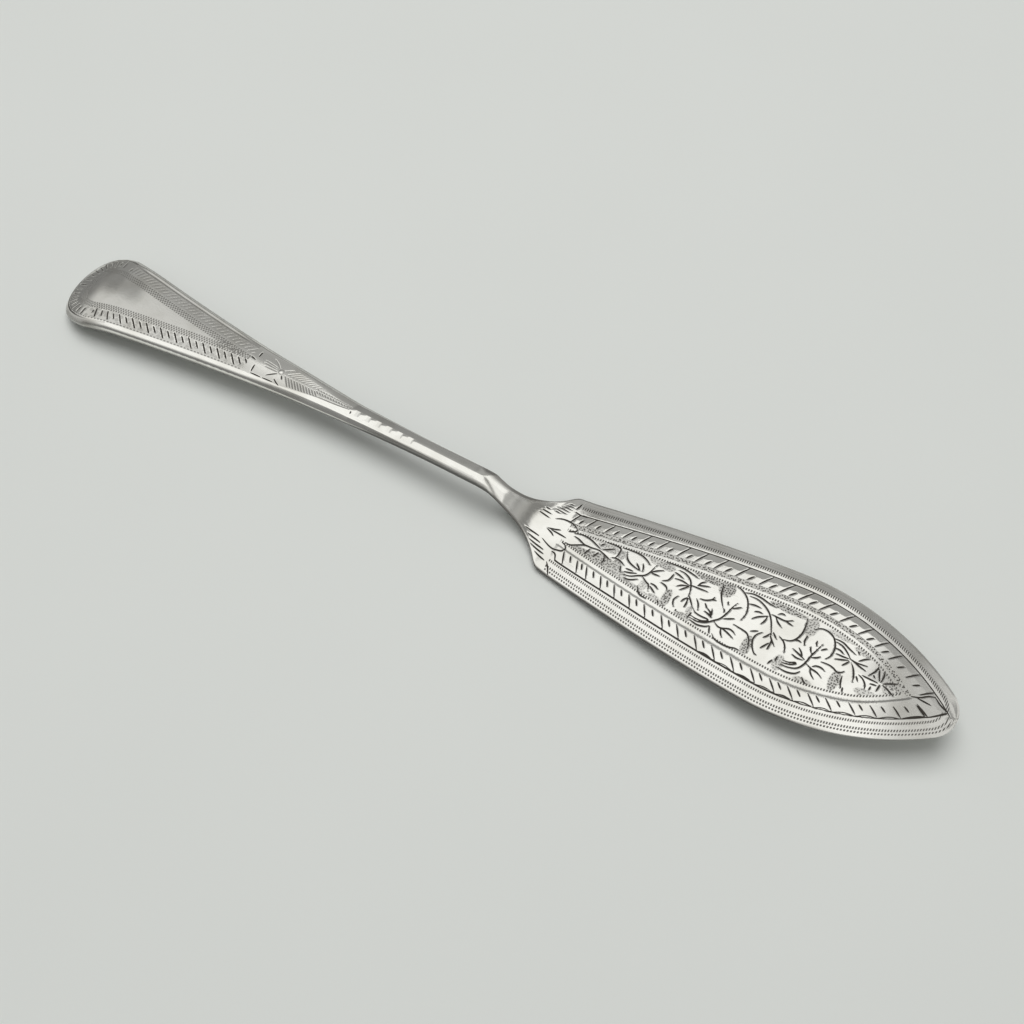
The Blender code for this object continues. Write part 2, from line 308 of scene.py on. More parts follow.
THIRD_LEAF = [
    [(30.4, -0.3), (31.2, -1.2), (31.7, -2.4)],
    [(32.2, -0.4), (33.0, -1.2)],
    [(33.0, -1.1), (33.9, -1.7), (34.5, -2.5)],
    [(33.9, -0.8), (34.2, -1.6), (34.4, -2.3)],
    [(32.8, -1.9), (33.8, -2.2), (34.6, -2.6)],
    [(30.6, -2.3), (31.5, -3.0), (32.8, -3.2), (34.0, -3.2), (34.2, -3.5), (33.3, -4.0),
     (32.0, -4.1), (31.0, -3.9)],
    [(31.0, -4.4), (32.5, -4.5), (34.0, -4.0), (35.1, -3.0), (36.1, -1.9), (36.7, -0.3),
     (37.0, 1.0), (37.5, 2.5)],
    [(31.2, -4.8), (32.8, -5.1), (34.2, -4.8), (35.0, -4.2)],
    [(30.9, -3.3), (30.8, -4.0), (30.6, -4.7)],
    [(37.2, 1.0), (37.9, 1.5), (38.5, 2.0)],
    [(35.8, 2.0), (36.1, 1.3)],
    [(35.9, 0.2), (36.2, -0.6)],
    [(36.6, -1.7), (37.6, -1.2), (38.4, -0.7)],
    [(35.8, 5.7), (37.2, 5.3), (38.6, 4.2), (39.5, 2.6), (39.8, 1.0), (39.4, -0.7)],
    [(38.6, -1.8), (40.0, -2.0), (41.3, -2.2), (42.0, -2.7), (42.7, -3.8), (43.2, -5.9)],
    [(35.3, -3.0), (36.4, -3.6), (37.2, -3.6), (38.4, -3.1), (39.2, -3.2), (39.9, -3.6)],
    [(37.2, -3.6), (38.4, -3.9), (39.9, -4.5)],
    [(37.0, -3.6), (37.4, -4.6), (38.0, -5.3)],
    [(35.0, -4.2), (35.3, -5.0), (35.6, -5.7)],
    [(36.0, -5.4), (37.0, -6.2), (38.6, -6.5), (40.0, -6.4), (41.0, -6.1), (41.9, -6.1)],
]
FOURTH_LEAF = [
    [(37.9, 5.2), (39.3, 5.6), (41.0, 5.55), (42.6, 5.2), (44.0, 5.1)],
    [(38.8, 4.9), (40.5, 4.95), (42.2, 4.3), (43.5, 3.3), (44.5, 1.9), (45.2, 0.4), (45.6, -0.5)],
    [(39.5, 3.4), (40.5, 3.6), (41.7, 3.6)],
    [(40.9, 2.4), (41.7, 2.7), (42.4, 2.7)],
    [(41.1, 0.8), (42.0, 1.7), (43.5, 2.7)],
    [(43.0, 0.6), (43.4, 1.5), (43.5, 2.6)],
    [(44.0, 3.4), (45.5, 3.3), (46.8, 3.35), (47.9, 4.1)],
    [(46.8, 3.3), (48.3, 3.0)],
    [(44.8, 3.2), (45.6, 2.4), (46.6, 1.8)],
    [(45.0, 4.0), (45.6, 4.4), (46.2, 4.4)],
    [(49.9, 6.2), (50.3, 4.4), (50.4, 2.6), (50.0, 1.1), (49.2, 0.1), (47.9, -0.3)],
    [(49.4, 0.4), (50.3, 0.8), (51.0, 0.7)],
    [(45.7, 0.2), (46.2, -0.3), (46.8, -0.8)],
    [(45.4, -0.3), (45.0, -1.1), (44.5, -1.7)],
    [(45.5, -0.6), (46.0, -1.3), (47.1, -2.4)],
    [(46.1, -1.5), (46.2, -2.6), (46.1, -3.7)],
    [(45.9, -2.2), (45.4, -3.1), (44.9, -3.9)],
    [(44.0, -0.8), (43.3, -1.7), (43.1, -2.9), (43.6, -4.3), (44.4, -5.3), (45.0, -5.4)],
    [(42.0, -1.6), (43.3, -0.9)],
    [(46.9, 0.0), (48.0, -0.6), (48.8, -1.6), (49.2, -3.0)],
    [(48.4, -3.8), (48.4, -5.0)],
    [(47.9, -4.9), (47.4, -6.0)],
]
FIFTH_LEAF = [
    [(51.0, -0.4), (51.7, -1.0), (52.3, -1.7)],
    [(50.1, -1.1), (51.5, -1.6), (53.0, -2.2)],
    [(50.4, -2.2), (51.4, -2.5), (52.5, -2.4)],
    [(49.4, -4.1), (50.6, -4.0), (51.6, -3.5), (51.8, -3.7), (50.9, -4.3), (49.5, -4.6)],
    [(49.4, -5.0), (51.0, -4.9), (52.4, -4.3), (53.2, -2.9), (53.6, -1.0), (54.0, 0.4), (54.6, 2.4)],
    [(49.1, -5.8), (51.0, -5.9), (52.4, -5.5), (53.2, -4.6)],
    [(52.0, 4.2), (53.0, 5.0), (54.3, 5.1), (55.6, 4.5), (56.5, 3.2), (56.8, 1.8), (56.6, 0.6),
     (56.0, -0.3)],
    [(51.5, 2.5), (51.4, 1.4), (51.8, 0.3)],
    [(52.8, 0.9), (53.1, 0.1), (53.5, -0.5)],
    [(53.4, 2.5), (53.5, 1.8), (53.8, 1.3)],
    [(55.6, 1.8), (54.7, 1.0)],
    [(55.2, -0.2), (54.6, -0.8), (53.9, -1.1)],
    [(53.5, -2.7), (54.6, -3.2), (55.8, -3.4), (57.0, -4.0)],
    [(54.6, -2.8), (55.2, -2.3), (56.2, -2.2), (57.0, -2.5)],
    [(54.4, -3.2), (55.0, -4.2), (55.9, -4.9)],
    [(55.6, -1.1), (57.0, -1.0), (58.0, -1.2), (58.9, -1.6), (59.6, -1.3), (60.0, -0.8)],
    [(53.8, -5.4), (54.4, -6.1), (55.1, -6.4)],
]
SIXTH_LEAF = [
    [(56.1, 4.4), (57.6, 4.3), (59.0, 3.7), (60.4, 3.2)],
    [(56.5, 3.9), (57.8, 3.6), (59.0, 2.8), (60.0, 1.9)],
    [(56.9, 2.7), (57.8, 2.6), (58.6, 2.2)],
    [(57.3, 1.7), (58.6, 1.7), (59.7, 1.8)],
    [(57.5, 0.6), (58.6, 1.0), (59.8, 1.5)],
    [(59.1, 0.0), (59.6, 0.7), (60.0, 1.4)],
    [(60.0, 1.9), (61.2, 1.7), (63.2, 2.0)],
    [(61.4, 2.2), (62.2, 3.0), (63.0, 3.6)],
    [(61.0, 1.6), (62.0, 1.3), (63.3, 1.0)],
    [(60.4, 1.3), (61.2, 0.3), (61.8, -1.0), (62.0, -2.1)],
    [(62.2, -0.7), (62.8, -1.6)],
    [(65.0, 3.0), (64.8, 1.8), (64.0, 0.4)],
    [(62.4, -0.2), (63.4, -0.7), (64.2, -1.6), (64.4, -2.6)],
    [(60.0, -1.8), (60.2, -3.0), (60.7, -4.4)],
    [(60.9, -3.8), (61.2, -4.8)],
    [(60.6, 4.0), (61.0, 3.5)],
]
STAR = [
    [(66.2, 0.2), (65.6, 1.6), (65.3, 2.6)],
    [(66.4, 0.2), (66.5, 1.4), (66.3, 2.7)],
    [(66.8, 0.1), (68.0, 0.8), (69.2, 1.4)],
    [(66.9, -0.1), (68.2, -0.6), (69.3, -1.2)],
    [(66.5, -0.2), (66.4, -1.0), (66.3, -1.8)],
    [(66.0, -0.7), (64.8, -0.9)],
    [(65.2, -1.3), (65.1, -2.2)],
    [(66.0, -0.1), (64.4, -0.1), (63.0, -0.05)],
    [(64.7, 1.0), (65.2, 0.5)],
]
TIP_CUTS = [
    [(73.2, 0.4), (75.6, 0.25)],
    [(72.0, 0.2), (73.4, 0.7), (74.6, 1.6), (75.8, 2.2)],
    [(75.8, 2.1), (77.0, 1.2), (78.4, 0.5)],
    [(73.5, -0.7), (75.0, -1.5), (76.0, -2.0)],
    [(72.3, -4.3), (74.4, -2.8), (76.0, -2.05)],
    [(76.0, -2.05), (77.4, -0.9), (78.5, 0.25)],
]
FAR_SHOULDER_CUTS = [
    [(-2.1, 3.5), (-0.9, 3.5)],
    [(-2.2, 4.05), (0.2, 4.0)],
    [(-2.0, 4.7), (0.4, 4.7)],
    [(-1.4, 5.35), (0.6, 5.35)],
    [(-1.0, 5.95), (0.8, 6.05)],
    [(-0.6, 6.55), (0.5, 6.65)],
]
SHOULDER_CUTS = [
    [(-3.9, 3.15), (-2.9, 3.2)],
    [(-4.2, 2.35), (-2.3, 2.4)],
    [(-4.4, 1.6), (-2.2, 1.45)],
    [(-5.0, -2.8), (-2.0, -2.95)],
    [(-4.1, -3.65), (-2.6, -3.85), (-1.1, -4.05)],
    [(-3.3, -4.45), (-1.5, -4.75), (0.1, -5.0)],
    [(-2.7, -5.1), (-1.0, -5.5), (0.6, -5.8)],
    [(-1.2, -6.05), (0.2, -6.55), (1.4, -6.85)],
    [(1.6, 7.8), (1.5, 6.85), (1.2, 5.95)],
    [(1.4, 5.45), (2.5, 5.25), (4.0, 5.45)],
    [(1.9, -6.85), (2.7, -7.85), (3.4, -9.1)],
    [(1.7, -4.45), (2.6, -4.8), (3.2, -6.05)],
]

# Border, by distance in from the edge: bevel, punched rows, line, ladder of cuts, punched strip, row.
# A run is a start and a length along the knife, negative towards the handle. A span is where a stretch
# starts, its rise, where it stops and its fall.
BEVEL_WIDTH = 1.95
BEVEL_DROP = 0.42
PANEL_CROWN = 0.2
SHOULDER_CROWN = 0.3
SHOULDER_CROWN_RUN = (7.0, -7.0)
LEAST_PANEL = 0.5
LIP_WIDTH = 0.36
LIP_DROP = 0.1
LADDER_FOOT = 3.1
LADDER_RIDGE = 4.6
LADDER_INNER = 6.0
LADDER_BACK = 6.4
LADDER_RISE = 0.21
UPPER_LINE = 3.15
LOWER_LINE = 3.55
PANEL_EDGE = 7.55
FAR_SHIFT = 0.4
MIDDLE_BLEND = 0.6
FAR_FLARE = 0.55
FAR_FLARE_RUN = (32.0, -30.0)
NEAR_FLARE = -0.25
NEAR_FLARE_RUN = (18.0, -14.0)
TIP_START = 62.0
TIP_RUN = 12.0
TIP_DRAW = 1.1
THIN_LINE = 0.13
CUT_HALF_BREADTH = 0.185
CUT_DEPTH = 0.14
SHOULDER_CUT_SHARE = 0.75
SHORT_CUT_SHARE = 1.1
SCALLOP_SHARE = 0.6
NEAR_LINE_SHARES = (1.35, 0.7)
NEAR_LINE_THINS = (46.0, 14.0)
BORDER_START = 3.0
BORDER_MARGIN = 1.0
BORDER_LEAD = 1.6
BORDER_RISE = 1.2
BORDER_LINE_START = -6.0
BORDER_LINE_REACH = 0.71
BORDER_POINTS = 1600
OUTLINE_START = -20.0
OUTLINE_POINTS = 3000
FIRST_CUT_LEAN = 0.9
MORE_CUT_LEAN = 1.1
FULL_LEAN_STATION = 45.0
LONG_CUT_INNER = 5.95
LONG_CUT_GAP = 0.2
SHORT_CUT_INNER = 5.85
SHORT_CUT_OUTER = 4.7
SHORT_CUT_LEAN = 0.55
LAST_SHORT_CUT = 74.0
SCALLOP_GAP = 0.05
SCALLOP_DIP = 0.35
SCALLOP_START = 30.0
UPPER_LONG_CUTS = (1.7, 4.9, 8.6, 12.2, 15.6, 19.1, 23.1, 26.6, 30.4, 34.6,
                   39.2, 43.2, 46.9, 51.1, 55.3, 59.2, 62.7, 65.8, 69.8, 73.2)
LOWER_LONG_CUTS = (3.8, 7.0, 9.2, 12.5, 15.6, 19.0, 22.4, 26.2, 29.6, 33.4, 37.1,
                   41.0, 45.1, 48.9, 52.3, 56.0, 59.1, 63.0, 66.4, 70.0, 73.5)
LAST_CUT = 76.5
# Punched ground between the leaves: place, reach along and across, and how closely it is punched.
GROUND_PATCHES = [
    (6.5, -2.0, 3.0, 1.0, 0.9), (10.5, -1.7, 3.2, 1.3, 0.9), (6.5, 2.2, 3.0, 0.6, 0.5),
    (11.0, 1.4, 2.2, 0.9, 0.6), (14.5, -2.7, 2.2, 1.0, 0.7), (21.5, 3.2, 2.6, 0.8, 0.6),
    (20.4, -2.6, 0.8, 1.0, 0.5), (25.4, -3.0, 0.8, 2.0, 1.0), (30.8, 4.5, 2.8, 0.7, 1.0),
    (34.6, 4.2, 1.5, 1.7, 1.0), (29.6, -4.9, 1.6, 0.7, 0.8), (30.3, -3.3, 0.5, 1.0, 0.7),
    (46.4, 5.6, 3.6, 0.6, 1.0), (42.6, -4.6, 0.9, 2.0, 0.9), (49.0, -5.0, 1.0, 1.6, 0.7),
    (51.4, 4.4, 1.2, 1.9, 0.8), (54.3, -6.3, 1.7, 0.7, 0.8), (59.1, -3.4, 0.9, 2.0, 1.0),
    (62.6, 4.3, 2.6, 0.8, 0.8), (65.5, -3.2, 2.6, 0.9, 0.7), (69.6, 0.0, 2.6, 2.0, 0.9),
    (67.4, 2.4, 1.8, 1.0, 0.8), (38.6, -7.0, 3.0, 0.5, 0.6), (14.0, 3.5, 5.0, 0.5, 0.6),
    (13.9, -1.4, 0.9, 1.5, 0.8), (14.0, 1.2, 0.6, 1.1, 0.7), (17.6, -3.6, 2.6, 0.5, 0.8),
    (23.2, -4.0, 1.3, 0.6, 0.7), (22.6, 3.1, 1.6, 0.8, 0.8), (8.0, 2.5, 4.5, 0.4, 0.7),
    (27.0, 4.9, 4.0, 0.45, 0.7), (57.5, 5.3, 3.5, 0.6, 0.6), (18.0, -4.0, 4.0, 0.5, 0.5),
]
PATCH_EDGE = (0.95, 0.2)
PANEL_SOFT = 0.1
WEDGE_GROUND = 0.45
WEDGE_START = 2.2
WEDGE_RUN = (26.0, -10.0)
WEDGE_OUTER = 1.4
WEDGE_SOFT = 0.2
# Painted shade towards the tip, on the border and on its rim, standing in for a darker reflection; and
# the near side's faint strip.
FAR_TIP_SHADE_RUN = (60.0, 8.0)
NEAR_TIP_SHADE_RUN = (64.0, 8.0)
FAR_RIM_TIP_SHADE_RUN = (53.0, 12.0)
NEAR_RIM_TIP_SHADE_RUN = (66.0, 8.0)
TIP_RIM_SHADE_STRENGTH = 0.75
NEAR_STRIP = (0.05, 0.38)
NEAR_STRIP_RUN = (22.0, 14.0)
# What a mark says away from every cut, and off the border.
CLEAR_OF_CUTS = 3.0
OFF_BORDER = 20.0
# Neck: a thin sheet with sloping rims, on which the stem's ridge ends in a steep triangle.
ROOF_SLOPE = 0.42
RIM_SLOPE = 0.40
RIM = 0.38
STEM_BEVEL = 0.85
NECK_BEVEL = 0.08
BEVEL_TAPER_START = -54.0
BEVEL_TAPER_RUN = 36.0
STEM_BEVEL_SLOPE = 0.61
BEVEL_CURL = 0.15
FAR_RIM = 0.7
FAR_RIM_SPAN = (-15.5, 2.0, -4.0, 5.0)
RIDGE_ROUNDING = 0.15
RIDGE_SHIFT = -0.28
NECK_PLATE = 1.45
RIDGE_END = -15.4
RIDGE_SPAN = (-54.0, 8.0, RIDGE_END + 2.0, 3.0)
PLATE_BLEND = (-5.5, 5.5)
TONGUE_SLANT = 1.7
TONGUE_END = -10.4
TONGUE_POWER = 2.2
TONGUE_RUN = 3.1
END_THICKNESS = 2.8
SLAB_START = 36.0
SLAB_FULL = 84.0
FLAT_TIP = -46.0
FLAT_SPREAD = 0.165
FLAT_MARGIN = 1.0
STEM_FLAT_SHARE = 0.25
UNDER_ROUNDING = 0.35
UNDER_RUN = (-15.0, 13.0)
LEAST_HALF_WIDTH = 0.05

# Painted shade on the walls, along the rims and beneath, standing in for the shadowed table and the
# dark low surroundings that the metal would mirror.
WALL_PAINTED_SHADE = 0.94
HANDLE_WALL_PAINTED_SHADE = 0.7
TIP_WALL_PAINTED_SHADE = 0.4
WALL_BACK_RUN = (-66.0, 16.0)
WALL_TIP_RUN = (72.0, -16.0)
DARK_WALL_SPAN = (-52.0, 12.0, 64.0, 12.0)
EARLY_COLUMNS = (0.6, 1.5)
RIM_FULL_SHARE = 0.4
NEAR_RIM_PAINTED_SHADE = 0.85
NEAR_RIM_REACH = 0.5
NEAR_NECK_SPAN = (-14.5, 2.5, -3.0, 4.0)
NEAR_BLADE_SPAN = (-14.5, 2.5, 66.0, 14.0)
BLADE_RIM_REACH = 0.28
SLIM_REACH = 0.45
SLIM_PAINTED_SHADE = 0.75
SLIM_SPAN = (-50.0, 12.0, -12.0, 3.0)
CORNER_PAINTED_SHADE = 0.62
CORNER_REACH = 1.0
CORNER_FULL_SHARE = 0.5
CORNER_SPAN = (-118.0, 4.0, -101.0, 7.0)
CREASE_PAINTED_SHADE = 0.55
CREASE_REACH = 0.7
CREASE_SPAN = (RIDGE_END, 0.6, -10.5, 2.0)
STREAK_PAINTED_SHADE = 0.3
STREAK_PLACE = -1.5
STREAK_REACH = 0.5
STREAK_SPAN = (-26.0, 7.0, RIDGE_END - 0.5, 2.0)
FAR_RIM_PAINTED_SHADE = 0.75
FAR_RIM_REACH = 0.28
FAR_NECK_REACH = 1.15
FAR_END_REACH = 0.75
FAR_STEM_SPAN = (-76.0, 10.0, -26.0, 8.0)
FAR_THROAT_SPAN = (-17.5, 2.0, -2.5, 5.0)
FAR_SHOULDER_SPAN = (-20.0, 6.0, 8.0, 6.0)
FAR_WHOLE_SPAN = (-117.0, 8.0, 76.0, 8.0)
BROAD_RUN = (-68.0, -8.0)
BLADE_HELD = 0.3
STEM_HELD = 0.8
BROAD_HELD = 0.85
UNDERSIDE_PAINTED_SHADE = 0.35
# Rings along the blade and columns round it.
SIDE_COLUMNS = 5
UNDER_COLUMNS = 3
SHADE_RAMP_COLUMNS = 2
BLADE_COLUMNS = 178
BLADE_RINGS = 410
NECK_RINGS = 60
TIP_RINGS = 30
TIP_SHARE = 0.5
FULL_PLATE = -5.0
SCARF_RUN = 9.0
WELD_DISTANCE = 0.000001
SLOPE_STEP = 0.1


def border_point(side, along, inset):
    """A point on the top, a distance in from the pointed border's outline."""
    ahead, behind = pointed_half_width(along + SLOPE_STEP), pointed_half_width(along - SLOPE_STEP)
    slope = (ahead - behind) / (2 * SLOPE_STEP)
    return along, side * (pointed_half_width(along) - inset * math.hypot(1.0, slope))


def rolled_skin(name, x, y, z, marks):
    """A closed skin: a flat grid rolled round the piece, joined beneath and closed at its ends."""
    rings, columns = x.shape[0] - 1, x.shape[1] - 1
    bpy.ops.object.select_all(action="DESELECT")
    bpy.ops.mesh.primitive_grid_add(x_subdivisions=rings, y_subdivisions=columns, size=2.0)
    piece = bpy.context.object
    piece.name = name
    mesh = piece.data
    mesh.name = name
    flat = np.empty(len(mesh.vertices) * 3)
    mesh.vertices.foreach_get("co", flat)
    flat = flat.reshape(-1, 3)
    ring = np.rint((flat[:, 0] + 1.0) / 2.0 * rings).astype(int)
    column = np.rint((flat[:, 1] + 1.0) / 2.0 * columns).astype(int)
    mesh.vertices.foreach_set("co", lay_down(x, y, z)[ring, column].ravel())
    for mark, values in marks.items():
        layer = mesh.attributes.new(mark, "FLOAT", "POINT")
        layer.data.foreach_set("value", values[ring, column].astype(np.float32))
    bpy.ops.object.mode_set(mode="EDIT")
    bpy.ops.mesh.select_all(action="SELECT")
    bpy.ops.mesh.remove_doubles(threshold=WELD_DISTANCE)
    bpy.ops.mesh.select_all(action="DESELECT")
    bpy.ops.mesh.select_mode(type="EDGE")
    bpy.ops.mesh.select_non_manifold()
    bpy.ops.mesh.mark_sharp()
    bpy.ops.mesh.fill_holes(sides=0)
    bpy.ops.mesh.select_all(action="SELECT")
    bpy.ops.mesh.normals_make_consistent(inside=False)
    bpy.ops.object.mode_set(mode="OBJECT")
    bpy.ops.object.shade_smooth()
    piece.matrix_world = Matrix.Identity(4)
    return piece


def end_fullness(x):
    """Share of the full thickness near the handle's rounded end."""
    left = np.clip((HANDLE_LENGTH + x) / (END_THICKNESS / 2), 0.0, 1.0)
    return np.sqrt(1.0 - (1.0 - left) ** 2)


def wall_painted_shade(x):
    """Painted shade on the edge's wall, standing in for the mirrored shadow of the table: heavy on
    stem, neck and blade, lighter at both ends.
    """
    back = mix(HANDLE_WALL_PAINTED_SHADE, WALL_PAINTED_SHADE, ramp(x, *WALL_BACK_RUN))
    return mix(TIP_WALL_PAINTED_SHADE, back, ramp(x, *WALL_TIP_RUN))


def edge_bevel(x):
    """Width of the bevel along the stem's edges, running out towards the neck."""
    return mix(STEM_BEVEL, NECK_BEVEL, ramp(x, BEVEL_TAPER_START, BEVEL_TAPER_RUN))


def rim_painted_shade(x, y):
    """Painted shade along the rims of the top, in the neck's crease, in a streak under the ridge and at
    the handle end's corner, where the metal would mirror dark surroundings.
    """
    from_edge = half_width(x) - np.abs(y)
    near_reach = mix(BLADE_RIM_REACH, NEAR_RIM_REACH, span(x, *NEAR_NECK_SPAN))
    slim = span(x, *SLIM_SPAN)
    near_reach = mix(near_reach, SLIM_REACH, slim)
    near_held = np.maximum(span(x, *NEAR_BLADE_SPAN), SLIM_PAINTED_SHADE * slim)
    near = NEAR_RIM_PAINTED_SHADE * near_held * (1.0 - ease(from_edge / near_reach - RIM_FULL_SHARE))
    from_crease = np.abs(ridge_place(x) - y - flat_half_width(x))
    crease = CREASE_PAINTED_SHADE * (1.0 - ease(from_crease / CREASE_REACH)) * span(x, *CREASE_SPAN)
    from_streak = np.abs(y - STREAK_PLACE)
    streak = STREAK_PAINTED_SHADE * (1.0 - ease(from_streak / STREAK_REACH)) * span(x, *STREAK_SPAN)
    near = np.maximum(near, np.maximum(crease, streak))
    corner = CORNER_PAINTED_SHADE * span(x, *CORNER_SPAN)
    near = np.maximum(near, corner * (1.0 - ease(from_edge / CORNER_REACH - CORNER_FULL_SHARE)))
    stem = span(x, *FAR_STEM_SPAN)
    throat = span(x, *FAR_THROAT_SPAN)
    broad = ramp(x, *BROAD_RUN)
    far_reach = mix(mix(FAR_RIM_REACH, edge_bevel(x), stem), FAR_NECK_REACH, throat)
    far_reach = mix(far_reach, FAR_END_REACH, broad)
    held = mix(BLADE_HELD, STEM_HELD, np.maximum(stem, span(x, *FAR_SHOULDER_SPAN)))
    held = mix(mix(held, BROAD_HELD, broad), 1.0, throat) * span(x, *FAR_WHOLE_SPAN)
    far = FAR_RIM_PAINTED_SHADE * held * (1.0 - ease(from_edge / far_reach - RIM_FULL_SHARE))
    return np.where(y < 0.0, near, far)


def wrap(stations, slanted, columns, top_height, under_share):
    """Points of a closed ring at every station: over the top, round both edges and beneath."""
    breadth = half_width(stations)[:, None]
    slant = slanted[:, None] / math.tan(SCARF_ANGLE)
    top_y = breadth * np.linspace(-1.0, 1.0, columns + 1)[None, :]
    top_x = stations[:, None] - top_y * slant
    top_up, marks = top_height(top_x, top_y)
    turn = np.linspace(0.0, math.pi / 2, SIDE_COLUMNS + 2)[None, 1:]
    inner = np.linspace(1.0, 0.0, UNDER_COLUMNS + 1)[None, 1:]
    flat = under_share(stations)[:, None] * breadth
    round_y = np.sqrt(np.maximum(np.cos(turn), 0.0))
    side_y = np.concatenate([flat + (breadth - flat) * round_y, flat * inner], axis=1)
    side_up = np.concatenate([1.0 - np.sin(turn), np.zeros(inner.shape)], axis=1)
    left_y = -side_y[:, ::-1]
    y = np.concatenate([left_y, top_y, side_y], axis=1)
    up = np.concatenate([top_up[:, :1] * side_up[:, ::-1], top_up, top_up[:, -1:] * side_up], axis=1)
    x = stations[:, None] - y * slant
    middle = END_THICKNESS / 2
    z = underside(x) + middle + np.where(up < middle, (up - middle) * end_fullness(x), up - middle)
    pad = left_y.shape[1]
    wide = {mark: np.pad(values, ((0, 0), (pad, pad)), mode="edge") for mark, values in marks.items()}
    # Painted shade: the walls fade into dark, the whole underside is darkened, and the rims take their
    # own painted shade.
    early = mix(*EARLY_COLUMNS, span(stations, *DARK_WALL_SPAN))[:, None]
    down = np.arange(SIDE_COLUMNS + 1)[None, :] + 0.5 + early
    walls = wall_painted_shade(stations)[:, None] * np.clip(down / SHADE_RAMP_COLUMNS, 0.0, 1.0)
    beneath = np.full((len(stations), UNDER_COLUMNS), UNDERSIDE_PAINTED_SHADE)
    rims = rim_painted_shade(top_x, top_y)
    wide["painted_shade"] = np.concatenate([beneath, walls[:, ::-1], rims, walls, beneath], axis=1)
    return x, y, z, wide


def flat_half_width(x):
    """Half width of the flat on top of the stem: none along the ridge, wider at neck and handle."""
    breadth = half_width(x)
    front = (breadth - RIM) * np.clip((x - RIDGE_END) / TONGUE_RUN, 0.0, 1.0)
    back = np.minimum((FLAT_TIP - x) * FLAT_SPREAD, breadth - FLAT_MARGIN)
    return np.maximum(np.maximum(front, back), 0.0)


def ridge_place(x):
    """Place of the stem's ridge across: a little to the near side."""
    return RIDGE_SHIFT * span(x, *RIDGE_SPAN)


def stem_top(x, y):
    """Top of the neck and stem above the underside: a ridge that runs out on the neck's sheet."""
    from_ridge = np.minimum(np.abs(y - ridge_place(x)) / (half_width(x) - RIM), 1.0)
    tongue_start = RIDGE_END + TONGUE_SLANT * from_ridge
    tongue = np.clip((x - tongue_start) / (TONGUE_END - tongue_start), 0.0, 1.0)
    forward = 1.0 - (1.0 - tongue) ** TONGUE_POWER
    stem = mix(STEM_THICKNESS, END_THICKNESS, ease((-x - SLAB_START) / (SLAB_FULL - SLAB_START)))
    far_rim = np.where(y > ridge_place(x), FAR_RIM * span(x, *FAR_RIM_SPAN), 0.0)
    flat = np.maximum(flat_half_width(x) - far_rim, 0.0)
    over = np.maximum(np.abs(y - ridge_place(x)) - flat, 0.0)
    fall = np.sqrt(over ** 2 + RIDGE_ROUNDING ** 2) - RIDGE_ROUNDING
    edge = np.maximum(np.abs(y) - half_width(x) + edge_bevel(x), 0.0)
    bevel = STEM_BEVEL_SLOPE * edge * (1.0 + BEVEL_CURL * edge / edge_bevel(x))
    return mix(stem, NECK_PLATE, forward) - mix(ROOF_SLOPE, RIM_SLOPE, forward) * fall - bevel


def line_flare(x, y):
    """How much farther in the border's line runs towards the shoulders."""
    far = FAR_FLARE * ramp(x, *FAR_FLARE_RUN)
    return np.where(y > 0.0, far, NEAR_FLARE * ramp(x, *NEAR_FLARE_RUN))


def ladder_cuts(side, starts, line):
    """Long and short cuts across the border, and on the near side scallops between the long ones."""
    long_cuts, short_cuts, scallops = [], [], []
    for start, after in zip(starts, starts[1:] + (LAST_CUT,)):
        lean = FIRST_CUT_LEAN + MORE_CUT_LEAN * min(start / FULL_LEAN_STATION, 1.0)
        foot = line + LONG_CUT_GAP + line_flare(start + lean, side)
        long_cuts.append([border_point(side, start, LONG_CUT_INNER),
                          border_point(side, start + lean, foot)])
        between = (start + after) / 2
        if between < LAST_SHORT_CUT:
            short_cuts.append([border_point(side, between, SHORT_CUT_INNER),
                               border_point(side, between + lean * SHORT_CUT_LEAN, SHORT_CUT_OUTER)])
        if side < 0 and start > SCALLOP_START and after < LAST_CUT:
            scallops.append([border_point(side, start + lean, line + SCALLOP_GAP),
                             border_point(side, between + lean, line + SCALLOP_DIP),
                             border_point(side, after + lean, line + SCALLOP_GAP)])
    return long_cuts, short_cuts, scallops


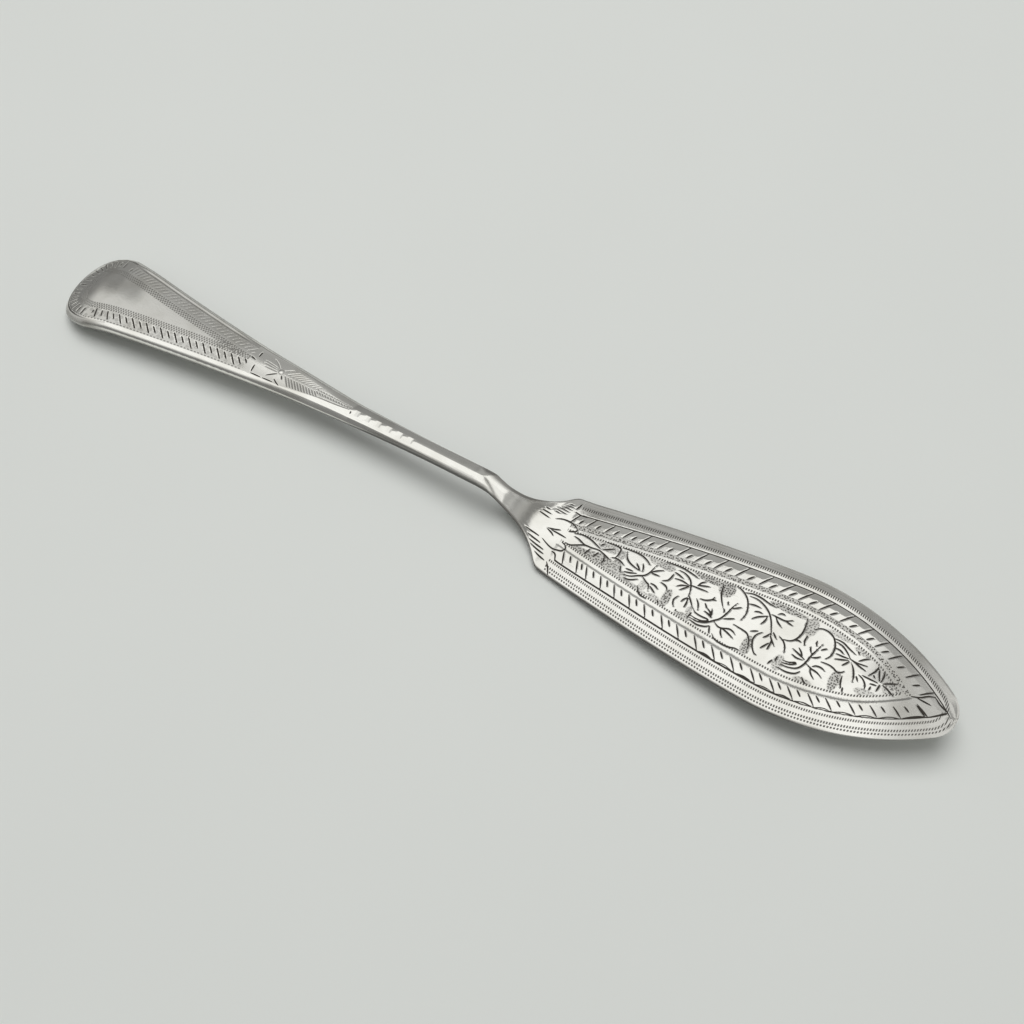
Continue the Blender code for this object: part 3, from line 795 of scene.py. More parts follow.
def blade_top(x, y):
    """Height of the blade's engraved top above the underside, and the marks its finish needs."""
    breadth = half_width(x)
    outline_x = np.linspace(OUTLINE_START, BLADE_LENGTH, OUTLINE_POINTS)
    inset, _ = nearest_on(x, y, outline_x, half_width(outline_x))
    border_end = BELLY_STATION + FRONT_RADIUS * BORDER_LINE_REACH
    border_x = np.linspace(BORDER_LINE_START, border_end, BORDER_POINTS)
    border_y = pointed_half_width(border_x)
    border, _ = nearest_on(x, y, border_x, border_y)
    on_border = ease((x - BORDER_START + BORDER_LEAD) / BORDER_RISE)
    thickness = mix(BLADE_THICKNESS, TIP_THICKNESS, np.clip(x / BLADE_LENGTH, 0.0, 1.0))
    panel = np.maximum(breadth - BEVEL_WIDTH, LEAST_PANEL)
    crown = mix(PANEL_CROWN, SHOULDER_CROWN, ramp(x, *SHOULDER_CROWN_RUN))
    plate = thickness - crown * np.clip(np.abs(y) / panel, 0.0, 1.0) ** 2
    plate = plate - BEVEL_DROP * np.clip(1.0 - inset / BEVEL_WIDTH, 0.0, 1.0)
    plate = plate - LIP_DROP * np.clip(1.0 - inset / LIP_WIDTH, 0.0, 1.0)
    inner = border - TIP_DRAW * ramp(x, TIP_START, TIP_RUN)
    inner = inner - FAR_SHIFT * ramp(y, -MIDDLE_BLEND, 2 * MIDDLE_BLEND)
    foot = border - line_flare(x, y)
    climb = np.clip((foot - LADDER_FOOT) / (LADDER_RIDGE - LADDER_FOOT), 0.0, 1.0)
    descent = ease((inner - LADDER_INNER) / (LADDER_BACK - LADDER_INNER))
    plate = plate + LADDER_RISE * climb * (1.0 - descent) * on_border
    height = mix(stem_top(x, y), plate, ramp(x, *PLATE_BLEND))

    cuts = np.full(x.shape, UNCUT)
    for strokes in (BASE_LEAF, BUD, FIRST_LEAF, SECOND_LEAF, THIRD_LEAF, FOURTH_LEAF, FIFTH_LEAF,
                    SIXTH_LEAF, STAR, TIP_CUTS, SHOULDER_CUTS):
        engrave(cuts, x, y, strokes, CUT_HALF_BREADTH)
    engrave(cuts, x, y, FAR_SHOULDER_CUTS, CUT_HALF_BREADTH * SHOULDER_CUT_SHARE)
    for side, starts, line in ((1.0, UPPER_LONG_CUTS, UPPER_LINE), (-1.0, LOWER_LONG_CUTS, LOWER_LINE)):
        long_cuts, short_cuts, scallops = ladder_cuts(side, starts, line)
        engrave(cuts, x, y, long_cuts, CUT_HALF_BREADTH)
        engrave(cuts, x, y, short_cuts, CUT_HALF_BREADTH * SHORT_CUT_SHARE)
        engrave(cuts, x, y, scallops, CUT_HALF_BREADTH * SCALLOP_SHARE)
    line = np.where(y > 0.0, UPPER_LINE, LOWER_LINE)
    near_breadth = mix(*NEAR_LINE_SHARES, ramp(x, *NEAR_LINE_THINS))
    gap = np.abs(foot - line) / np.where(y > 0.0, THIN_LINE, THIN_LINE * near_breadth)
    cuts = np.minimum(cuts, np.where(x > BORDER_START, gap, UNCUT))
    height = height - CUT_DEPTH * np.clip(1.0 - cuts, 0.0, 1.0)

    ground = np.zeros(x.shape)
    for patch_x, patch_y, reach_x, reach_y, strength in GROUND_PATCHES:
        away_from = np.hypot((x - patch_x) / reach_x, (y - patch_y) / reach_y)
        ground = np.maximum(ground, strength * (1.0 - ramp(away_from, *PATCH_EDGE)))
    ground = ground * ease((inner - PANEL_EDGE + PANEL_SOFT) / (2 * PANEL_SOFT))
    wedge = ramp(inset, WEDGE_OUTER, WEDGE_SOFT) * ramp(foot, UPPER_LINE - WEDGE_SOFT, -WEDGE_SOFT)
    wedge = WEDGE_GROUND * wedge * ramp(x, *WEDGE_RUN)
    ground = np.maximum(ground, np.where((y > 0.0) & (x > WEDGE_START), wedge, 0.0))
    behind = x < BORDER_START - BORDER_MARGIN
    # Painted shade: a darker reflection painted towards the tip, on the border and on its rim.
    painted_tip_shade = np.where(y > 0.0, ramp(x, *FAR_TIP_SHADE_RUN), ramp(x, *NEAR_TIP_SHADE_RUN))
    tip_rim_shade = TIP_RIM_SHADE_STRENGTH * np.where(y > 0.0, ramp(x, *FAR_RIM_TIP_SHADE_RUN), ramp(x, *NEAR_RIM_TIP_SHADE_RUN))
    marks = {
        "cut": np.clip(cuts, 0.0, CLEAR_OF_CUTS),
        "ground": ground,
        "border": np.where(behind, OFF_BORDER, inner),
        "upper": np.where(behind | (y < 0.0), OFF_BORDER, inset),
        "lower": np.where(behind | (y > 0.0), OFF_BORDER, inset),
        "run": np.interp(x, border_x, run_along(border_x, border_y)),
        "painted_tip_shade": np.where(border > LOWER_LINE, painted_tip_shade, tip_rim_shade),
        "strip": np.where(y > 0.0, 1.0, mix(*NEAR_STRIP, ramp(x, *NEAR_STRIP_RUN))),
    }
    return height, marks


def blade_under_share(x):
    """Share of the width that lies flat beneath: almost all of the blade, little of the stem."""
    plate = np.clip(1.0 - UNDER_ROUNDING / np.maximum(half_width(x), LEAST_HALF_WIDTH), 0.0, 1.0)
    return mix(STEM_FLAT_SHARE, plate, ramp(x, *UNDER_RUN))


seam_half = SOLDER_THICKNESS / 2 / math.sin(SCARF_ANGLE)
blade_start = -SCARF_STATION + seam_half + JOINT_GAP
neck_stations = np.linspace(blade_start, FULL_PLATE, NECK_RINGS + 1)[:-1]
plate_stations = np.linspace(FULL_PLATE, TIP_CENTRE + TIP_RADIUS * TIP_SHARE, BLADE_RINGS)
tip_turn = np.linspace(math.asin(TIP_SHARE), math.pi / 2, TIP_RINGS + 1)[1:]
tip_stations = TIP_CENTRE + TIP_RADIUS * np.sin(tip_turn)
blade_stations = np.concatenate([neck_stations, plate_stations, tip_stations])
blade_slanted = 1.0 - ramp(blade_stations, blade_start, SCARF_RUN)
bx, by, bz, blade_marks = wrap(
    blade_stations, blade_slanted, BLADE_COLUMNS, blade_top, blade_under_share)
bx[-1, :] = BLADE_LENGTH
by[-1, :] = 0.0
bz[-1, :] = TIP_EDGE_THICKNESS / 2
blade = rolled_skin("engraved_blade", bx, by, bz, blade_marks)


def tree_of(material):
    """The node tree of a new material."""
    material.use_nodes = True
    return material.node_tree


def value_node(tree, operation, first, second=None, third=None):
    """A Math node whose inputs are sockets or plain numbers."""
    node = tree.nodes.new("ShaderNodeMath")
    node.operation = operation
    for place, item in enumerate((first, second, third)):
        if item is None:
            continue
        if isinstance(item, (int, float)):
            node.inputs[place].default_value = item
        else:
            tree.links.new(item, node.inputs[place])
    return node.outputs[0]


def step_node(tree, value, start, stop, low=0.0, high=1.0):
    """A smooth step of a value between two limits."""
    node = tree.nodes.new("ShaderNodeMapRange")
    node.interpolation_type = "SMOOTHSTEP"
    tree.links.new(value, node.inputs["Value"])
    for name, number in (("From Min", start), ("From Max", stop), ("To Min", low), ("To Max", high)):
        node.inputs[name].default_value = number
    return node.outputs["Result"]


def band_node(tree, value, start, stop, soft):
    """A mask that is 1 between two limits."""
    return value_node(tree, "MULTIPLY",
                      step_node(tree, value, start - soft, start + soft),
                      step_node(tree, value, stop - soft, stop + soft, 1.0, 0.0))


def strongest(tree, first, *others):
    """The largest of several masks."""
    result = first
    for other in others:
        result = value_node(tree, "MAXIMUM", result, other)
    return result


def mark_node(tree, name):
    """A mark that the mesh carries at its points."""
    node = tree.nodes.new("ShaderNodeAttribute")
    node.attribute_name = name
    return node.outputs["Fac"]


def mix_colours(tree, share, first, second):
    """A colour mix whose inputs are sockets or plain colours."""
    node = tree.nodes.new("ShaderNodeMix")
    node.data_type = "RGBA"
    tree.links.new(share, node.inputs["Factor"])
    for place, item in ((6, first), (7, second)):
        if isinstance(item, tuple):
            node.inputs[place].default_value = (*item, 1.0)
        else:
            tree.links.new(item, node.inputs[place])
    return node.outputs[2]


CLOUD_SCALE = 130.0
CLOUD_DETAIL = 4.0
CLOUD_LIMITS = (0.42, 0.72)
SCRATCH_TURN = (0.0, 0.0, 0.35)
SCRATCH_SCALE = (900.0, 9000.0, 2000.0)
SCRATCH_DETAIL = 3.0
GRAIN_SCALE = 2600.0
# Steps over the scratches: from, to, and the values there.
RUBBED = (0.5, 0.75, 0.0, 0.7)
POLISH = (0.3, 0.8, 0.07, 0.16)
DARK_ROUGHNESS = 0.3
DARK_METAL = -0.45
GRAIN_HEIGHT = 0.5
PIT_HEIGHT = -1.6
BUMP_STRENGTH = 0.2
BUMP_DISTANCE = 0.00002
# Steps of the mark in a cut and of a punched dash, in the same order.
IN_CUT = (0.7, 1.15, 1.0, 0.0)
DASH = (0.22, 0.36, 1.0, 0.0)
ROW_SOFT = 0.07
PUNCH_RANDOM = 0.75
PUNCH_CORE = 0.7


def noise_node(tree, place, scale, detail=2.0):
    """Noise over a place, of a given fineness and detail."""
    node = tree.nodes.new("ShaderNodeTexNoise")
    node.inputs["Scale"].default_value = scale
    node.inputs["Detail"].default_value = detail
    tree.links.new(place, node.inputs["Vector"])
    return node.outputs["Fac"]


def worn_silver_group():
    """Polished silver with faint tarnish clouds, fine rubbing scratches, and a dark mask that puts
    oxide in the cuts and paints shade.
    """
    group = bpy.data.node_groups.new("worn_silver", "ShaderNodeTree")
    face = group.interface
    for name, kind in (("Dark", "NodeSocketFloat"), ("Pits", "NodeSocketFloat")):
        face.new_socket(name, in_out="INPUT", socket_type=kind)
    for name in ("Silver", "Tarnish", "Oxide"):
        face.new_socket(name, in_out="INPUT", socket_type="NodeSocketColor")
    for name, kind in (("Color", "NodeSocketColor"), ("Roughness", "NodeSocketFloat"),
                       ("Metal", "NodeSocketFloat"), ("Height", "NodeSocketFloat")):
        face.new_socket(name, in_out="OUTPUT", socket_type=kind)
    given = group.nodes.new("NodeGroupInput")
    place = group.nodes.new("ShaderNodeTexCoord").outputs["Object"]

    clouds = noise_node(group, place, CLOUD_SCALE, CLOUD_DETAIL)
    cloud = step_node(group, clouds, *CLOUD_LIMITS)
    stretch = group.nodes.new("ShaderNodeMapping")
    stretch.inputs["Rotation"].default_value = SCRATCH_TURN
    stretch.inputs["Scale"].default_value = SCRATCH_SCALE
    group.links.new(place, stretch.inputs["Vector"])
    scratch = noise_node(group, stretch.outputs["Vector"], 1.0, SCRATCH_DETAIL)
    grain = noise_node(group, place, GRAIN_SCALE)

    rubbed = step_node(group, scratch, *RUBBED)
    tone = mix_colours(group, strongest(group, cloud, rubbed), given.outputs["Silver"],
                       given.outputs["Tarnish"])
    colour = mix_colours(group, given.outputs["Dark"], tone, given.outputs["Oxide"])
    polish = step_node(group, scratch, *POLISH)
    dull = value_node(group, "MULTIPLY_ADD", given.outputs["Dark"], DARK_ROUGHNESS, polish)
    metal = value_node(group, "MULTIPLY_ADD", given.outputs["Dark"], DARK_METAL, 1.0)
    fine = value_node(group, "MULTIPLY_ADD", grain, GRAIN_HEIGHT, scratch)
    height = value_node(group, "MULTIPLY_ADD", given.outputs["Pits"], PIT_HEIGHT, fine)

    out = group.nodes.new("NodeGroupOutput")
    group.links.new(colour, out.inputs["Color"])
    group.links.new(dull, out.inputs["Roughness"])
    group.links.new(metal, out.inputs["Metal"])
    group.links.new(height, out.inputs["Height"])
    return group


SILVER = (0.93, 0.915, 0.875)
TARNISH = (0.80, 0.78, 0.73)
# Dark colour for the oxide in the cuts and also for the painted shade on walls, rims, underside and
# tip.
OXIDE_AND_PAINTED_SHADE = (0.035, 0.030, 0.024)
worn_silver = worn_silver_group()


def finish_silver(material, dark, pits):
    """Wire worn silver, with the given dark and pitted masks, into a material's metal shader."""
    tree = tree_of(material)
    shader = tree.nodes["Principled BSDF"]
    wear = tree.nodes.new("ShaderNodeGroup")
    wear.node_tree = worn_silver
    for name, colour in (("Silver", SILVER), ("Tarnish", TARNISH), ("Oxide", OXIDE_AND_PAINTED_SHADE)):
        wear.inputs[name].default_value = (*colour, 1.0)
    for name, mask in (("Dark", dark), ("Pits", pits)):
        if mask is None:
            wear.inputs[name].default_value = 0.0
        else:
            tree.links.new(mask, wear.inputs[name])
    bump = tree.nodes.new("ShaderNodeBump")
    bump.inputs["Strength"].default_value = BUMP_STRENGTH
    bump.inputs["Distance"].default_value = BUMP_DISTANCE
    tree.links.new(wear.outputs["Height"], bump.inputs["Height"])
    tree.links.new(wear.outputs["Color"], shader.inputs["Base Color"])
    tree.links.new(wear.outputs["Roughness"], shader.inputs["Roughness"])
    tree.links.new(wear.outputs["Metal"], shader.inputs["Metallic"])
    tree.links.new(bump.outputs["Normal"], shader.inputs["Normal"])


def punched_row(tree, distance, run, start, stop, pitch, offset=0.0):
    """A row of small punched dashes between two distances from the edge."""
    count = value_node(tree, "MULTIPLY_ADD", run, 1.0 / pitch, offset)
    turn = value_node(tree, "FRACT", count)
    off_middle = value_node(tree, "ABSOLUTE", value_node(tree, "SUBTRACT", turn, 0.5))
    dash = step_node(tree, off_middle, *DASH)
    across = band_node(tree, distance, start, stop, ROW_SOFT)
    return value_node(tree, "MULTIPLY", across, dash)


def punch_marks(tree, pitch, spread):
    """Small irregular punch marks."""
    place = tree.nodes.new("ShaderNodeTexCoord").outputs["Object"]
    cells = tree.nodes.new("ShaderNodeTexVoronoi")
    cells.voronoi_dimensions = "2D"
    cells.inputs["Scale"].default_value = 1.0 / (pitch * MM)
    cells.inputs["Randomness"].default_value = PUNCH_RANDOM
    tree.links.new(place, cells.inputs["Vector"])
    return step_node(tree, cells.outputs["Distance"], spread * PUNCH_CORE, spread, 1.0, 0.0)


# Punched rows: the distance a row keeps to, its outer and inner limit, and the pitch of its dashes.
BLADE_ROWS = (("upper", 1.8, 2.52, 0.45), ("lower", 2.45, 2.95, 0.45), ("lower", 1.2, 1.65, 0.5),
              ("lower", 0.6, 0.95, 0.58), ("border", 7.15, 7.6, 0.52))
# Punched strip: outer and inner limit and softness; punch marks: pitch and size as a share of it.
STRIP_BAND = (5.72, 6.66, 0.06)
STRIP_PUNCH = (0.44, 0.42)
GROUND_PUNCH = (0.46, 0.42)
GROUND_DULL = 0.38
TIP_SHADE_STRENGTH = 0.45
PUNCH_DARK = 0.9
BRUSH_ALONG = 0.06
BRUSH_ACROSS = 5.5
BRUSH_STEP = (0.42, 0.68, 0.0, 0.3)
BRUSH_BAND = (0.1, 1.7, 0.1)
blade_silver = bpy.data.materials.new("blade_silver_engraved")
tree = tree_of(blade_silver)
run_mark = mark_node(tree, "run")
distances = {name: mark_node(tree, name) for name in ("upper", "lower", "border")}
ground_mark = mark_node(tree, "ground")
in_cut = step_node(tree, mark_node(tree, "cut"), *IN_CUT)
rows = strongest(tree, *[punched_row(tree, distances[name], run_mark, *row)
                         for name, *row in BLADE_ROWS])
strip_mask = value_node(tree, "MULTIPLY", mark_node(tree, "strip"),
                        band_node(tree, distances["border"], *STRIP_BAND))
strip = value_node(tree, "MULTIPLY", strip_mask, punch_marks(tree, *STRIP_PUNCH))
ground_dots = value_node(tree, "MULTIPLY", ground_mark, punch_marks(tree, *GROUND_PUNCH))
small = strongest(tree, rows, strip, ground_dots)
punched = strongest(tree, ground_mark, strip_mask)
dull_ground = value_node(tree, "MULTIPLY", punched, GROUND_DULL)
brush_place = tree.nodes.new("ShaderNodeCombineXYZ")
for axis, distance, scale in (("X", run_mark, BRUSH_ALONG), ("Y", distances["upper"], BRUSH_ACROSS)):
    tree.links.new(value_node(tree, "MULTIPLY", distance, scale), brush_place.inputs[axis])
brush = noise_node(tree, brush_place.outputs["Vector"], 1.0)
brushed = value_node(tree, "MULTIPLY", step_node(tree, brush, *BRUSH_STEP),
                     band_node(tree, distances["upper"], *BRUSH_BAND))
# The dark mask carries oxide in the cuts and the punched ground, and also painted shade: towards the
# tip, on the walls, the underside and the rims.
tip_shade_mask = value_node(tree, "MULTIPLY", mark_node(tree, "painted_tip_shade"), TIP_SHADE_STRENGTH)
blade_dark = strongest(tree, in_cut, value_node(tree, "MULTIPLY", small, PUNCH_DARK),
                       dull_ground, tip_shade_mask, brushed, mark_node(tree, "painted_shade"))
finish_silver(blade_silver, blade_dark, small)
blade.data.materials.append(blade_silver)
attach(blade, "root")
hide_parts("blade")


# Solder seam: the thin silver layer in the slanting joint, filed flush with the stem on both sides.
# It shows only as a hair line across the stem, in the same silver finish.
def plain_stem_top(x, y):
    """Top of the stem without any engraving."""
    return stem_top(x, y), {"cut": np.full(x.shape, CLEAR_OF_CUTS)}


def stem_under_share(x):
    """Share of the stem's width that lies flat beneath."""
    return np.full(np.shape(x), STEM_FLAT_SHARE)


SEAM_COLUMNS = 60
SEAM_RINGS = 3
seam_stations = np.linspace(-SCARF_STATION - seam_half, -SCARF_STATION + seam_half, SEAM_RINGS)
sx, sy, sz, seam_marks = wrap(
    seam_stations, np.ones(SEAM_RINGS), SEAM_COLUMNS, plain_stem_top, stem_under_share)
solder = rolled_skin("solder_joint", sx, sy, sz, seam_marks)
solder_silver = bpy.data.materials.new("solder_silver_filed")
tree = tree_of(solder_silver)
# The dark mask here is only painted shade on the walls, the underside and the rims.
finish_silver(solder_silver, mark_node(tree, "painted_shade"), None)
solder.data.materials.append(solder_silver)
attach(solder, "root")
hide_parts("solder_seam")


# Handle: wrought from bar, a ridged stem that flattens into a broad end turned down to the table.
# The edge is rounded; a border of graver cuts and punched rows frames a plain pear-shaped field.
SLAB_BLEND_START = 56.0
SLAB_BLEND_END = 72.0
END_CROWN = 0.5
END_CROWN_POWER = 2.0
EDGE_ROUNDING = 1.15
EDGE_FALL = 0.95
EDGE_POWER = 1.5
RIM_LINE = 1.1
FAR_RIM_PLACE = 1.38
FAR_RIM_LINE = 0.42
FAR_RIM_DEPTH = 0.26
FAR_CUT_DEPTH = 0.35
FAR_CUTS_FROM = 1.8
RIM_LINE_END = -103.0
FRAME_END = -71.0
CUT_PITCH = 3.35
# Rows of border cuts: shift as a share of the pitch, and how far in their two ends lie.
NEAR_CUTS = ((0.0, 4.1, 1.75), (0.5, 3.9, 2.3))
FAR_CUTS = ((0.0, 3.7, 1.85), (0.33, 3.7, 1.85), (0.67, 3.6, 2.0))
END_CUTS = ((0.25, 3.6, 1.5), (0.75, 3.4, 1.7))
END_CUTS_FROM = -107.5
CUT_LEAN = 1.75
CUT_LEAN_RUN = (-112.0, 14.0)
CUT_WIDTH = 2.15
CUT_FOOT = 1.6
CUT_TAPER = 0.3
CUT_TIP_SHARE = 0.2
FINE_CUT_SHARE = 0.8
FAR_LINE_SPAN = (END_CUTS_FROM, 5.0, FRAME_END, 8.0)
FIELD_END = -81.0
FILL_SPAN = (FIELD_END, 3.0, FRAME_END, 0.4)
FILL_EDGE = (4.0, 0.3)
HANDLE_OUTLINE_END = -15.0
ROUND_POINTS = 900
EDGE_POINTS = 2000
LEAST_BREADTH = 0.3
UNDER_EDGE = 1.1
FLOWER_RINGS_START = -72.0
# Oxide left in the cuts: most on the near side, less on the far side and in the flower.
FAR_LINE_OXIDE = 0.38
FAR_CUT_OXIDE = 0.45
END_OXIDE = 0.85
NEAR_LINE_INSET = 1.25
NEAR_LINE_RUN = (-113.0, 9.0)
FAR_BONE_OXIDE = 0.4
NEAR_BONE_OXIDE = 0.6
BONE_MIDDLE = 0.2
FLOWER_OXIDE = 0.55
FLOWER_START = -68.5
FLOWER_LOW = -0.4
HANDLE_COLUMNS = 124
END_RINGS = 80
FRAME_RINGS = 190
FLOWER_RINGS = 250
STEM_RINGS = 100
TICKS = [
    [(-69.7, 2.4), (-69.7, 1.1)],
    [(-71.4, 0.5), (-69.9, 0.15)],
    [(-69.3, -1.0), (-69.1, -2.6)],
    [(-45.9, -0.5), (-45.9, -1.2)],
]
FLOWER = [
    [(-67.8, 1.1), (-64.8, 0.75)],
    [(-67.8, 0.5), (-64.8, 0.4)],
    [(-67.2, -0.2), (-64.4, -0.1)],
    [(-66.4, 2.3), (-65.2, 1.6), (-64.2, 0.8)],
    [(-65.9, -1.9), (-64.9, -1.1), (-64.1, -0.5)],
    [(-62.9, 0.8), (-61.4, 1.8)],
    [(-63.0, -0.4), (-62.4, -1.2)],
    [(-63.9, -1.8), (-63.1, -2.3), (-62.2, -2.7)],
    [(-69.0, -2.9), (-66.6, -2.8)],
    [(-66.2, -2.75), (-63.8, -2.6)],
]
FLOWER_BOSS = (-63.5, 0.25)
BOSS_RADIUS = 0.45
BOSS_RISE = 0.2
BOSS_RING = 1.2
BOSS_RING_LINE = 0.25
BONE_START = -62.2
BRAID_START = -54.6
BRAID_EDGE = [(BRAID_START - 0.6, -1.25), (-50.0, -0.85), (-46.4, -0.45)]
# Rows of short cuts: count, pitch, first place, length, the inner and outer end's place across, and
# how much the length and both ends change from one cut to the next.
BONE_ROWS = (
    (11, 0.72, BONE_START, 1.75, -0.15, -2.1, -0.06, 0.0, 0.085),
    (9, 0.85, BONE_START + 0.4, 1.9, 0.4, 1.8, -0.13, 0.0, -0.09),
    (13, 0.66, BRAID_START, 0.5, 0.62, 0.25, 0.0, -0.02, 0.0),
    (13, 0.66, BRAID_START, 0.55, 0.05, -0.45, 0.0, 0.0, 0.015),
)
FACET_START = -46.0
FACET_END = -31.0
FACET_PITCH = 2.5
FACET_MIDDLE = -44.6
FACET_DEPTH = 0.2
FACET_TILT = 0.1
FACET_BEAT = (-0.75, 0.8)
FACET_SPAN = (FACET_START, 0.3, FACET_END, 0.3)


def herringbone():
    """Short slanting cuts on either side of the middle line, then a braid running out to a point."""
    cuts = [BRAID_EDGE]
    for count, pitch, first, length, inner, outer, longer, inner_drift, outer_drift in BONE_ROWS:
        for place in range(count):
            start = first + place * pitch
            cuts.append([(start, inner + place * inner_drift),
                         (start + length + place * longer, outer + place * outer_drift)])
    return cuts


def ring_cuts(cuts, where, slanted, inset, lean, pattern):
    """Cut rows of slanting strokes that follow the edge, between two distances from it."""
    for offset, inner, outer in pattern:
        turn = np.abs((slanted + offset) % 1.0 - 0.5) * CUT_PITCH / np.hypot(1.0, lean)
        taper = np.clip((inset - outer) / CUT_TAPER, 0.0, 1.0)
        taper = taper * np.clip((inner - inset) / CUT_TAPER, 0.0, 1.0)
        gap = turn / (CUT_HALF_BREADTH * mix(CUT_TIP_SHARE, 1.0, taper))
        here = where & (inset > outer) & (inset < inner)
        cuts[here] = np.minimum(cuts[here], gap[here])


def handle_top(x, y):
    """Height of the handle's engraved top above the underside, and the marks its finish needs."""
    breadth = handle_half_width(x)
    end_turn = np.linspace(0.0, math.pi / 2, ROUND_POINTS)
    round_x = -HANDLE_LENGTH + END_ROUND_LENGTH * (1.0 - np.cos(end_turn))
    edge_x = np.linspace(END_ROUND_LENGTH - HANDLE_LENGTH, HANDLE_OUTLINE_END, EDGE_POINTS)
    outline_x = np.concatenate([round_x, edge_x[1:]])
    outline_y = handle_half_width(outline_x)
    inset, nearest = nearest_on(x, y, outline_x, outline_y)
    run = run_along(outline_x, outline_y)[nearest]

    ridged = stem_top(x, y)
    crest = stem_top(x, ridge_place(x))
    filed = crest - FACET_DEPTH + FACET_TILT * (y - ridge_place(x))
    beat = np.cos(2 * np.pi * (x - FACET_MIDDLE) / FACET_PITCH)
    facets = ramp(beat, *FACET_BEAT) * span(x, *FACET_SPAN)
    ridged = mix(ridged, np.minimum(ridged, filed), facets)
    rounding = np.clip(1.0 - inset / EDGE_ROUNDING, 0.0, 1.0)
    out = np.clip(np.abs(y) / np.maximum(breadth, LEAST_BREADTH), 0.0, 1.0)
    crown = END_CROWN * (0.5 - out ** END_CROWN_POWER)
    rounded = 1.0 - (1.0 - rounding ** EDGE_POWER) ** (1.0 / EDGE_POWER)
    slab = END_THICKNESS + crown - EDGE_FALL * rounded
    height = mix(ridged, slab, ease((-x - SLAB_BLEND_START) / (SLAB_BLEND_END - SLAB_BLEND_START)))

    cuts = np.full(x.shape, UNCUT)
    framed = x < FRAME_END
    near, far = framed & (y < 0.0), framed & (y >= 0.0)
    lean = CUT_LEAN * ramp(x, *CUT_LEAN_RUN) / CUT_WIDTH
    slanted = (run + (inset - CUT_FOOT) * lean) / CUT_PITCH
    along_edge = x > END_CUTS_FROM
    ring_cuts(cuts, near & along_edge, slanted, inset, lean, NEAR_CUTS)
    ring_cuts(cuts, far & along_edge, slanted, inset, lean, FAR_CUTS)
    ring_cuts(cuts, x < END_CUTS_FROM, slanted, inset, lean, END_CUTS)
    rim_gap = np.where(along_edge & far, np.abs(inset - FAR_RIM_PLACE) / FAR_RIM_LINE,
                       np.abs(inset - RIM_LINE) / THIN_LINE)
    cuts = np.minimum(cuts, np.where(far | (x < RIM_LINE_END), rim_gap, UNCUT))
    engrave(cuts, x, y, TICKS, CUT_HALF_BREADTH)
    engrave(cuts, x, y, FLOWER, CUT_HALF_BREADTH * FINE_CUT_SHARE)
    engrave(cuts, x, y, herringbone(), CUT_HALF_BREADTH * FINE_CUT_SHARE)
    far_line = FAR_RIM_DEPTH * span(x, *FAR_LINE_SPAN)
    far_depth = np.where(inset > FAR_CUTS_FROM, CUT_DEPTH * FAR_CUT_DEPTH, far_line)
    depth = np.where(far & along_edge, far_depth, CUT_DEPTH)
    height = height - depth * np.clip(1.0 - cuts, 0.0, 1.0)
    from_boss = np.hypot(x - FLOWER_BOSS[0], y - FLOWER_BOSS[1]) / BOSS_RADIUS
    height = height + BOSS_RISE * np.sqrt(np.clip(1.0 - from_boss ** 2, 0.0, 1.0))
    cuts = np.where(from_boss < 1.0, CLEAR_OF_CUTS, cuts)
    cuts = np.minimum(cuts, np.abs(from_boss - BOSS_RING) / BOSS_RING_LINE)

    far_oxide = np.where(inset < FAR_CUTS_FROM, FAR_LINE_OXIDE, FAR_CUT_OXIDE)
    far_oxide = np.where(along_edge, far_oxide, END_OXIDE)
    near_oxide = np.where(inset < NEAR_LINE_INSET, 1.0 - ramp(x, *NEAR_LINE_RUN), 1.0)
    bones = np.where(y > BONE_MIDDLE, FAR_BONE_OXIDE, NEAR_BONE_OXIDE)
    bones = np.where((x > BONE_START) & (x < FLAT_TIP), bones, 1.0)
    in_flower = (x > FLOWER_START) & (x < BONE_START) & (y > FLOWER_LOW)
    bones = np.where(in_flower, FLOWER_OXIDE, bones)
    marks = {
        "cut": np.clip(cuts, 0.0, CLEAR_OF_CUTS),
        "oxide": np.where(framed, np.where(far, far_oxide, near_oxide), bones),
        "inset": np.where(framed, inset, OFF_BORDER),
        "near_inset": np.where(near, inset, OFF_BORDER),
        "run": run,
        "fill": span(x, *FILL_SPAN) * ramp(inset, *FILL_EDGE),
    }
    return height, marks


def handle_under_share(x):
    """Share of the width that lies flat beneath: little of the stem, more of the broad end."""
    slab = 1.0 - UNDER_EDGE / np.maximum(handle_half_width(x), LEAST_HALF_WIDTH)
    slab = np.clip(slab, STEM_FLAT_SHARE, 1.0)
    return mix(STEM_FLAT_SHARE, slab, ease((-x - SLAB_START) / (SLAB_FULL - SLAB_START)))


handle_start = -SCARF_STATION - seam_half - JOINT_GAP
round_turn = np.linspace(0.0, math.pi / 2, END_RINGS)
round_stations = -HANDLE_LENGTH + END_ROUND_LENGTH * (1.0 - np.cos(round_turn))
frame_stations = np.linspace(round_stations[-1], FLOWER_RINGS_START, FRAME_RINGS + 1)[1:]
flower_stations = np.linspace(FLOWER_RINGS_START, FACET_START, FLOWER_RINGS + 1)[1:]
stem_stations = np.linspace(FACET_START, handle_start, STEM_RINGS + 1)[1:]
handle_stations = np.concatenate([round_stations, frame_stations, flower_stations, stem_stations])
handle_slanted = 1.0 - ramp(handle_stations, handle_start, -SCARF_RUN)
hx, hy, hz, handle_marks = wrap(
    handle_stations, handle_slanted, HANDLE_COLUMNS, handle_top, handle_under_share)
hx[0, :] = -HANDLE_LENGTH
hy[0, :] = 0.0
hz[0, :] = underside(-HANDLE_LENGTH) + END_THICKNESS / 2
handle = rolled_skin("engraved_handle", hx, hy, hz, handle_marks)

